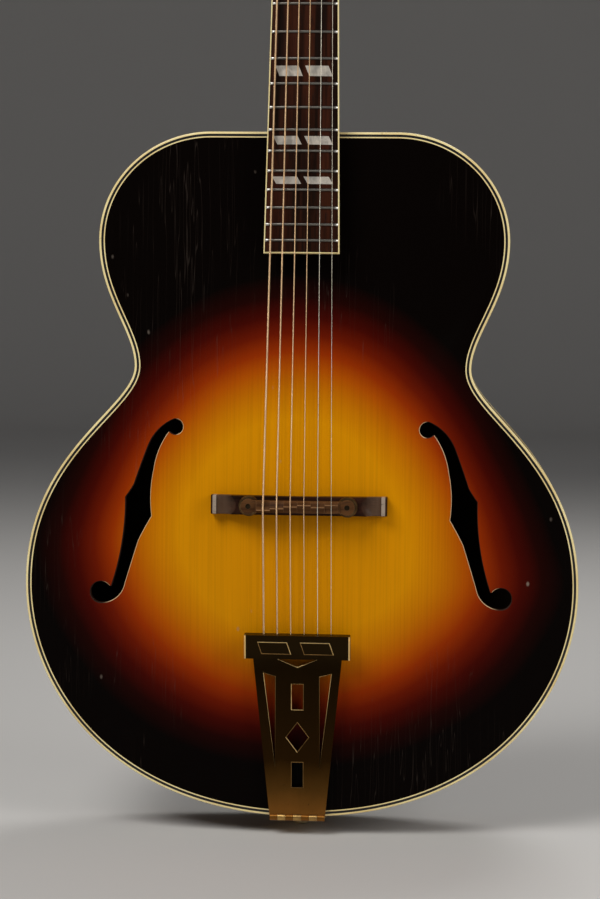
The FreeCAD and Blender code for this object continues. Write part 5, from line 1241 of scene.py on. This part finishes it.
class GUITAR_OT_fingerboard(Operator):
    """Cambered board, its binding with side dots, inlays and frets"""

    bl_idname = "guitar.fingerboard"
    bl_label = "Fingerboard"

    def execute(self, context):
        self.board()
        self.binding()
        self.inlays()
        self.frets()
        return {"FINISHED"}

    def board(self):
        """Cambered top over a flat glue face, tapered between the two ends."""
        rings = []
        for z in (BOARD_TAIL + BOARD_BINDING, NECK_TO_NUT):
            half = board_width(z) / 2 - BOARD_BINDING
            x = np.linspace(half, -half, 25)
            ring = [points_of([-half, half], -SEAM, z), points_of(x, camber(x), z)]
            rings.append(neck_space(np.concatenate(ring)))
        surface = skin(np.array(rings))
        build("cambered_board", surface, [rosewood_board], ("fingerboard",), sharp=30)

    def binding(self):
        """Strips along both sides and across the end; their upper outer edge is rounded."""
        wide = BOARD_BINDING - SEAM
        soft = 0.0005
        strips = []
        for side in (-1, 1):
            rings = []
            for z in (BOARD_TAIL, NECK_TO_NUT):
                half = board_width(z) / 2
                top = camber(half)
                row = [(half, -SEAM), (half, top + soft), (half - soft * 0.3, top + soft * 0.3)]
                row += [(half - inwards, camber(half - inwards)) for inwards in (soft, wide)]
                row += [(half - wide, -SEAM)]
                x, y = np.array(row).T
                rings.append(neck_space(points_of(side * x, y, z)))
            strips.append(skin(np.array(rings)))
        half = board_width(BOARD_TAIL) / 2 - BOARD_BINDING
        x = np.linspace(-half, half, 19)
        crown = camber(x)
        loop = [(-SEAM + 0 * x, BOARD_TAIL), (crown + soft, BOARD_TAIL), (crown, BOARD_TAIL + soft)]
        loop += [(crown, BOARD_TAIL + wide), (-SEAM + 0 * x, BOARD_TAIL + wide)]
        rings = np.stack([points_of(x, y, z) for y, z in loop], axis=1)
        strips.append(skin(neck_space(rings)))
        build("board_binding", joined(strips), [cream_binding], ("fingerboard_binding",))
        level, sunk, pair = -0.0025, 0.0003, 0.004
        profile = [(0.0010, 0.0), (0.0010, 0.00035), (0.0008, 0.0004)]
        dots = []
        for fret in SIDE_DOT_FRETS:
            z = float(fret_station(fret) + fret_station(fret - 1)) / 2
            for lift in ((-pair, pair) if fret == OCTAVE else (0.0,)):
                half = board_width(z + lift) / 2

                def place(across, height, along, z=z + lift, half=half):
                    return neck_space(points_of(-half + sunk - height, level + across, z + along))

                dots.append(lathe(profile, 16, place))
        build("side_dots", joined(dots), [black_line])

    def inlays(self):
        """Slanted pairs of blocks; each ring is a rectangle across the block, its top on the camber."""
        margin, half_gap, slant, deep, shorter = 0.0064, 0.0025, 0.00165, 0.0012, 0.0008
        blocks = []
        for fret in INLAY_FRETS:
            upper, lower = float(fret_station(fret - 1)), float(fret_station(fret))
            middle = (upper + lower) / 2
            tall = (upper - lower) / 4 - shorter
            width = board_width(middle) / 2 - margin - half_gap
            for start in (-width - half_gap, half_gap):
                x = np.linspace(start, start + width, 9)
                rings = []
                for up, depth in ((1, 0.0), (1, deep), (-1, deep), (-1, 0.0)):
                    slid = x - up * slant
                    rings.append(points_of(slid, camber(slid) - PROUD + depth, middle + up * tall))
                blocks.append(skin(neck_space(np.stack(rings, axis=1))))
        build("pearl_blocks", joined(blocks), [pearl_shell], ("fret_inlays",), sharp=30)

    def frets(self):
        """Half-round wires: a scaled half circle carried over the camber, lower towards both ends."""
        s = sizes()
        inside, bevel, least = 0.0009, 0.045, 0.12
        turn = np.linspace(0, math.pi, 11)
        share = np.concatenate([[-1, -0.985, -0.96], np.linspace(-0.93, 0.93, 13), [0.96, 0.985, 1]])
        fade = np.clip((1 - np.abs(share)) / bevel, least, 1) ** 0.5
        up = -np.sin(turn) * s.fret_height * fade[:, None]
        along = np.cos(turn) * s.fret_width / 2
        wires = []
        for fret in range(1, FRETS + 1):
            z = float(fret_station(fret))
            x = share * (board_width(z) / 2 - inside)
            seat = camber(x)[:, None] - PROUD
            wires.append(skin(neck_space(points_of(x[:, None], seat + up, z + along))))
        build("fret_wires", joined(wires), [bright_steel], ("frets",), sharp=50)


# Strings: the width of their row and their height over the board's line, and the posts they end on

SADDLE_SPREAD, NUT_SPREAD = 0.052, 0.036
SADDLE_RISE, NUT_RISE = 0.0053, 0.0013
ANCHOR_LEVEL, ANCHOR_HEIGHT = -0.00105, 0.14215
NUT_CREST = 0.00085
INTONATION = (-0.0024, -0.001, 0.0004, 0.0016, 0.0002, 0.002)
POSTS = [(-1, 0.044), (-1, 0.087), (-1, 0.130), (1, 0.130), (1, 0.087), (1, 0.044)]
POST_ACROSS, POST_RADIUS = 0.027, 0.0027
WRAPS, WRAP_LEVEL, WRAP_GAP = 2.5, -0.0058, 0.0005


def string_route(index):
    """Anchor, saddle point and nut point of a string, then the points of a helix round its post."""
    s = sizes()
    thick = s.string_diameters[index]
    share = index / (STRINGS - 1) - 0.5
    at_saddle, at_nut = SADDLE_SPREAD * share, NUT_SPREAD * share
    anchor = tail_space([at_saddle, ANCHOR_LEVEL, ANCHOR_HEIGHT])
    level = camber(at_saddle) - SADDLE_RISE - thick / 2
    saddle = neck_space([at_saddle, level, NECK_TO_NUT - s.scale_length + INTONATION[index]])
    nut = neck_space([at_nut, camber(at_nut) - NUT_RISE - thick / 2, NECK_TO_NUT + NUT_CREST])
    start = turned_back(turned_back(nut, NECK_ORIGIN, NECK_LEAN), (0, 0, HEAD_START), HEAD_LEAN)
    side, station = POSTS[index]
    post = (side * POST_ACROSS, station)
    radius = POST_RADIUS + thick / 2 + PROUD
    across, along = post[0] - start[0], station - start[2]
    reach = math.hypot(across, along)
    heading = math.atan2(along, across) + side * math.asin(radius / reach)
    run = math.sqrt(reach ** 2 - radius ** 2)
    first = (start[0] + run * math.cos(heading), start[2] + run * math.sin(heading))
    turn = np.linspace(0, WRAPS * TAU, 100)
    x, z = on_circle(post, radius, bearing(first, post) - side * turn).T
    return anchor, saddle, nut, head_space(points_of(x, WRAP_LEVEL - (thick + WRAP_GAP) * turn / TAU, z))


def eased(before, corner, after, reach):
    """Rounded corner: a quadratic curve between points at a distance from it."""
    back, ahead = unit(np.array([before - corner, after - corner]))
    t = np.linspace(0, 1, 7)[:, None]
    rest = 1 - t
    return rest ** 2 * (corner + back * reach) + 2 * t * rest * corner + t ** 2 * (corner + ahead * reach)


class GUITAR_OT_strings(Operator):
    """Six strings from the tailpiece over saddle and nut to their turns on the posts"""

    bl_idname = "guitar.strings"
    bl_label = "Strings"

    def execute(self, context):
        for index in range(STRINGS):
            self.string(index)
        return {"FINISHED"}

    def string(self, index):
        """A circle carried along the route, in four lengths.

        u of the UV map is the length along the string, v the turn round it.
        """
        thick = sizes().string_diameters[index]
        anchor, saddle, nut, helix = string_route(index)
        line = np.linspace(0, 1, 9)[:, None]
        bend, saddle_round, nut_round = 6, 0.002, 0.001
        bend_at = anchor + (saddle - anchor) * line[bend]
        parts = [
            anchor + (saddle - anchor) * line[:-1],
            eased(anchor, saddle, nut, saddle_round),
            saddle + (nut - saddle) * (0.01 + 0.98 * np.linspace(0, 1, 30)[:, None]),
            eased(saddle, nut, helix[0], nut_round),
            nut + (helix[0] - nut) * (0.1 + 0.85 * line),
            helix,
        ]
        path = np.concatenate(parts)
        way = unit(np.gradient(path, axis=0))
        front = head_space([0, -1, 0]) - head_space([0, 0, 0])
        side = unit(np.cross(way, front))
        up = np.cross(side, way)
        turn = np.arange(STRING_SIDES) * TAU / STRING_SIDES
        spokes = np.cos(turn)[:, None] * side[:, None] + np.sin(turn)[:, None] * up[:, None]
        rings = path[:, None] + spokes * thick / 2
        along = np.concatenate([[0], np.cumsum(np.linalg.norm(np.diff(path, axis=0), axis=1))])
        over_saddle = len(parts[0]) + len(parts[1]) // 2
        over_nut = sum(len(part) for part in parts[:3]) + len(parts[3]) // 2
        lengths = [
            ("tail", 0, bend, ("tailpiece", BODY, anchor, bend_at)),
            ("rise", bend, over_saddle, (BODY, "saddle", bend_at, saddle)),
            ("speaking", over_saddle, over_nut, ("saddle", BODY, saddle, nut)),
            ("wraps", over_nut, len(path) - 1, BODY),
        ]
        wound = index < WOUND_STRINGS
        maker, slot = (bronze_winding, "wound_bronze") if wound else (plain_wire, "plain_steel")
        node = "string_%d" % (index + 1)
        for name, first, last, body in lengths:
            shown = slice(first, last + 1)
            piece = build("%s_%s" % (node, name), skin(rings[shown]), [maker], (node,), body, sharp=60)
            self.measure(piece, along[shown])

    def measure(self, piece, along):
        """Write length and turn into the UV map, corner by corner."""
        mesh = piece.data
        corner = np.zeros(len(mesh.loops), np.int32)
        mesh.loops.foreach_get("vertex_index", corner)
        ring, spoke = corner // STRING_SIDES, corner % STRING_SIDES
        layer = mesh.uv_layers.new(name="length_and_turn")
        pairs = np.stack([along[ring], spoke / STRING_SIDES], axis=1)
        layer.uv.foreach_set("vector", pairs.astype(np.float32).ravel())


class GUITAR_OT_bridge(Operator):
    """Gouged base fitted to the arch, saddle, studs and knurled wheels"""

    bl_idname = "guitar.bridge"
    bl_label = "Bridge"

    def execute(self, context):
        self.base()
        self.wheels()
        refined("bridge_saddle", rosewood_saddle, "saddle", sharp=25)
        self.crests()
        refined("bridge_studs", dark_stud)
        return {"FINISHED"}

    def base(self):
        """Cross-sections along the bridge: the top dips into a gouge on each wing and lifts to a lip."""
        gouge_depth, hollow_depth = 0.0034, 0.0014
        foot_end, foot_run, foot_depth = 0.019, 0.003, 0.003
        fall_start, fall_run, fall_depth = 0.0485, 0.0175, 0.0036
        lip_run, lip_depth, gap, least = 0.0009, 0.0007, 0.0003, 0.0008
        half_length = BRIDGE_HIGH.x
        x = np.concatenate([np.linspace(-1, -0.62, 60), np.linspace(-0.6, 0.6, 40), np.linspace(0.62, 1, 60)])
        reach = np.abs(x) * half_length
        across = np.array([-1, -1, -0.94, -0.8, -0.5, -0.2, 0.2, 0.5, 0.8, 0.94, 1, 1])
        start = WING_START + WING_BOW * across ** 2
        gouge = np.clip((reach[:, None] - start) / (WING_END - start), 0, 1)
        dip = np.where(gouge < 1, np.sin(gouge * math.pi) ** 0.6, 0) * gouge_depth
        fall = np.clip((reach - fall_start) / fall_run, 0, 1) ** 1.3 * fall_depth
        lip = np.clip((reach - (half_length - lip_run)) / lip_run, 0, 1) ** 2 * lip_depth
        edge = np.array([0.0, 0.0009, 0.00025, 0, 0, 0, 0, 0, 0, 0.00025, 0.0009, 0.0])
        hollow = np.cos(across * math.pi / 2) ** 0.7 * hollow_depth
        hollow[[0, -1]] = 0
        grid_x = (x * half_length)[:, None]
        grid_z = (BRIDGE_MIDDLE + across * BRIDGE_HALF_WIDTH)[None, :]
        top = BRIDGE_LOW.y + (fall + lip)[:, None] + dip + edge + hollow * dip / gouge_depth
        foot = np.clip((foot_end - reach) / foot_run, 0, 1)
        foot = foot * foot * (3 - 2 * foot) * foot_depth
        under = top_level(grid_x, grid_z) - gap - foot[:, None]
        level = np.minimum(top, under - least)
        level[:, [0, -1]] = under[:, [0, -1]]
        surface = skin(points_of(grid_x, level, grid_z))
        build("gouged_base", surface, [rosewood_base], ("bridge_base",), sharp=28)

    def crests(self):
        """Painted highlight on the crest under each string: a half-round strip across the string, from
        neighbour to neighbour.
        """
        turn = np.linspace(0, math.pi, 7)
        half_wide, half_long, tall = 0.0051, 0.0005, 0.00012
        strips = []
        for index in range(STRINGS):
            thick = sizes().string_diameters[index]
            saddle = string_route(index)[1]
            x = saddle[0] + np.array([-half_wide, half_wide])
            y = saddle[1] + thick / 2 + tall - tall * np.sin(turn)
            z = saddle[2] + half_long * np.cos(turn)
            strips.append(skin(points_of(x[:, None], y, z)))
        build("saddle_crests", joined(strips), [rubbed_rosewood], (), "saddle", sharp=50)

    def wheels(self):
        """Knurled discs: the rim's radius waves with the angle; the bore clears the stud."""
        s = sizes()
        segments = s.knurls * 6
        turn = np.arange(segments) * TAU / segments
        bore, collar, ledge, soft, ridge = 0.0021, 0.0023, 0.0016, 0.0004, 0.00022
        wave = ridge * (0.5 + 0.5 * np.cos(turn * s.knurls))
        for node, body in (("thumbwheel_bass", "wheel_bass"), ("thumbwheel_treble", "wheel_treble")):
            low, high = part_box(node)
            middle = (low + high) / 2
            rim = high.x - middle.x
            near, far = low.y, high.y
            rows = [(bore, near, 0), (collar, near, 0), (rim - ledge, near, 0), (rim - soft, near, 0)]
            rows += [(rim, near + soft, 1), (rim, far - soft, 1), (rim - soft, far, 0), (bore, far, 0)]
            rings = []
            for radius, y, ridged in rows:
                reach = radius - wave * ridged
                rings.append(points_of(middle.x + reach * np.cos(turn), y, middle.z + reach * np.sin(turn)))
            surface = skin(np.array(rings), hoop=True)
            build(node + "_knurled", surface, [aged_brass], (node,), body, sharp=45)


class GUITAR_OT_tailpiece(Operator):
    """Pierced tailpiece, its hinge and the end pin"""

    bl_idname = "guitar.tailpiece"
    bl_label = "Tailpiece and end pin"

    def execute(self, context):
        refined("tailpiece", tarnished_gold, "tailpiece", sharp=30)
        self.edges()
        for node in ("tailpiece_bracket", "hinge_pin", "bracket_screws"):
            refined(node, worn_gold)
        refined("end_pin", cream_pin)
        return {"FINISHED"}

    def edges(self):
        """Rounded edges: a low bead along each side of the windows, the emblems and the ends of the bar.

        Each row has a loop, the level of its face, the way the beads lie from it, and its sides that face the
        light and get the painted highlight; its other sides get painted shade.
        """
        plate_face, bar_face, emblem_face = -0.0009, -0.0065, -0.0073
        wedge = np.array([(0.0261, 0.1165), (0.0173, 0.1140), (0.0173, 0.0405)])
        diamond = np.array([(-0.0086, 0.0654), (0, 0.0771), (0.0086, 0.0654), (0, 0.0537)])
        notch = np.array([(-0.01865, 0.1295), (0.01865, 0.1295), (0, 0.1218)])
        upper, lower = (rectangle(-0.0044, 0.0044, low, low + 0.0202) for low in (0.0878, 0.0248))
        # The listed sides of each loop face the light and get the painted highlight
        windows = [(wedge, [2]), (wedge * np.array([-1, 1]), [2]), (diamond, [3])]
        windows += [(notch, [1, 2]), (upper, [0, 3]), (lower, [])]
        edged = [(loop, plate_face, 1, highlit) for loop, highlit in windows]
        for left in (-0.0408, 0.0396):
            edged.append((rectangle(left, left + 0.0012, 0.1295, 0.1481), bar_face, -1, [0, 1, 2, 3]))
        for start in (-0.0307, 0.0022):
            top = np.array([(start, 0.1432), (start + 0.023, 0.1432)])
            low = top[::-1] + np.array([0.0033, -0.0097])
            edged.append((np.concatenate([top, low]), emblem_face, -1, [0, 1]))
        # Lit and shaded copies of one gold: painted highlight and painted shade
        bright, dim = [], []
        for loop, level, way, highlit in edged:
            for side, bead in enumerate(self.beads(loop, level, way)):
                (bright if side in highlit else dim).append(bead)
        build("tailpiece_highlight_edges", joined(bright), [bright_gold], (), "tailpiece", sharp=50)
        build("tailpiece_shade_edges", joined(dim), [dim_gold], (), "tailpiece", sharp=50)

    def beads(self, loop, level, way):
        """Low rounded strip along each side of a loop, outside it or inside it, on a face at a level."""
        wide, proud = 0.0006 * way, 0.0002
        # Each row is a share of the strip's width and of its height over the face
        rows = [(0.0, 0.0), (0.0, -0.6), (0.3, -1.0), (0.7, -1.0), (1.0, -0.2), (1.0, 0.8), (0.0, 0.8)]
        rings = []
        for share, lift in rows:
            x, z = mitred(loop, share * wide).T
            rings.append(tail_space(points_of(x, level + lift * proud, z)))
        sections = np.array(rings).swapaxes(0, 1)
        return [skin(np.array(pair)) for pair in zip(sections, np.roll(sections, -1, axis=0))]


class GUITAR_OT_tuners(Operator):
    """Open-geared tuners: plates, bushes, screws, posts with gears, keys with worms"""

    bl_idname = "guitar.tuners"
    bl_label = "Tuners"

    def execute(self, context):
        for node in ("tuner_plates", "tuner_bushings", "tuner_screws"):
            refined(node, worn_gold)
        for index in range(1, STRINGS + 1):
            for part in ("post_%d" % index, "key_%d" % index):
                refined("tuner_" + part, worn_gold, part)
        return {"FINISHED"}


class GUITAR_OT_stage(Operator):
    """Pale studio sweep, soft lights and the camera"""

    bl_idname = "guitar.stage"
    bl_label = "Studio"

    def execute(self, context):
        self.sweep()
        self.lights(context.scene)
        self.camera(context.scene)
        return {"FINISHED"}

    def sweep(self):
        """Round floor that rises in a quarter circle into a wall: a profile turned about the upright axis."""
        floor, curve, wall, segments = 6.0, 2.0, 5.0, 96
        rise = np.linspace(0, math.pi / 2, 16)
        radius = np.concatenate([[0.05, 1.0, 3.0], floor + curve * np.sin(rise)])
        height = np.concatenate([[0.0, 0.0, 0.0], curve - curve * np.cos(rise)])
        radius = np.append(radius, radius[-1])[:, None]
        height = np.append(height, wall)[:, None]
        turn = np.arange(segments) * TAU / segments
        rows = points_of(radius * np.cos(turn), radius * np.sin(turn), height)
        index = np.arange(rows.size // 3).reshape(rows.shape[:2])
        after = np.roll(index, -1, axis=1)
        quads = np.stack([index[:-1], index[1:], after[1:], after[:-1]], axis=-1)
        faces = quads.reshape(-1, 4).tolist() + [index[0].tolist()]
        mesh = bpy.data.meshes.new("studio_sweep")
        mesh.from_pydata(rows.reshape(-1, 3).tolist(), [], faces)
        mesh.shade_smooth()
        painted(mesh, [studio_floor])
        linked("studio_sweep", mesh)

    def lights(self, scene):
        """Three soft lights aimed at the body, and an even pale surround."""
        aim = Vector((0, 0, 0.35))
        rows = [
            ("key_light", (-1.2, -1.7, 2.3), 1.5, 58.0),
            ("fill_light", (1.9, -1.5, 1.3), 1.4, 25.0),
            ("rim_light", (0.6, 1.6, 2.2), 1.2, 22.0),
        ]
        for name, place, size, power in rows:
            lamp = bpy.data.lights.new(name, "AREA")
            lamp.energy = power
            lamp.size = size
            light = linked(name, lamp)
            light.location = place
            light.rotation_euler = (aim - Vector(place)).to_track_quat("-Z", "Y").to_euler()
        world = bpy.data.worlds.new("studio_air")
        world.use_nodes = True
        air = world.node_tree.nodes["Background"].inputs
        air["Color"].default_value = (0.9, 0.92, 1.0, 1.0)
        air["Strength"].default_value = 0.08
        scene.world = world

    def camera(self, scene):
        """Camera in front, a little to the treble side and above, with the guitar's slight lean."""
        scene.view_settings.view_transform = "Standard"
        lens = bpy.data.cameras.new("photo_camera")
        lens.sensor_fit = "VERTICAL"
        lens.sensor_height = 36.0
        lens.lens = 92.8
        eye = linked("photo_camera", lens)
        target, distance = Vector((-0.001, -0.044, 0.3026)), 1.8
        side, above, lean = math.radians(3.9), math.radians(3.4), math.radians(0.59)
        way = Vector((math.sin(side) * math.cos(above), -math.cos(side) * math.cos(above), math.sin(above)))
        eye.location = target + way * distance
        eye.rotation_mode = "QUATERNION"
        eye.rotation_quaternion = (-way).to_track_quat("-Z", "Y") @ Quaternion((0, 0, 1), lean)
        scene.camera = eye


OPERATORS = [
    GUITAR_OT_stage,
    GUITAR_OT_top,
    GUITAR_OT_back,
    GUITAR_OT_ribs,
    GUITAR_OT_trim,
    GUITAR_OT_inside,
    GUITAR_OT_neck,
    GUITAR_OT_fingerboard,
    GUITAR_OT_tuners,
    GUITAR_OT_bridge,
    GUITAR_OT_tailpiece,
    GUITAR_OT_strings,
]


class GUITAR_PT_panel(Panel):
    """Lists the guitar's pieces"""

    bl_label = "Archtop guitar"
    bl_space_type = "VIEW_3D"
    bl_region_type = "UI"
    bl_category = "Guitar"

    def draw(self, context):
        for kind in OPERATORS:
            self.layout.operator(kind.bl_idname)


CLASSES = [GuitarSizes, GuitarColours, *OPERATORS, GUITAR_PT_panel]


def register():
    """Register the classes and put their values on the scene."""
    for kind in CLASSES:
        bpy.utils.register_class(kind)
    bpy.types.Scene.guitar_sizes = PointerProperty(type=GuitarSizes)
    bpy.types.Scene.guitar_colours = PointerProperty(type=GuitarColours)


def unregister():
    """Take the values and classes away again."""
    del bpy.types.Scene.guitar_sizes
    del bpy.types.Scene.guitar_colours
    for kind in reversed(CLASSES):
        bpy.utils.unregister_class(kind)


def main():
    """Make every piece."""
    register()
    for kind in OPERATORS:
        group, name = kind.bl_idname.split(".")
        getattr(getattr(bpy.ops, group), name)()


if __name__ == "__main__":
    main()
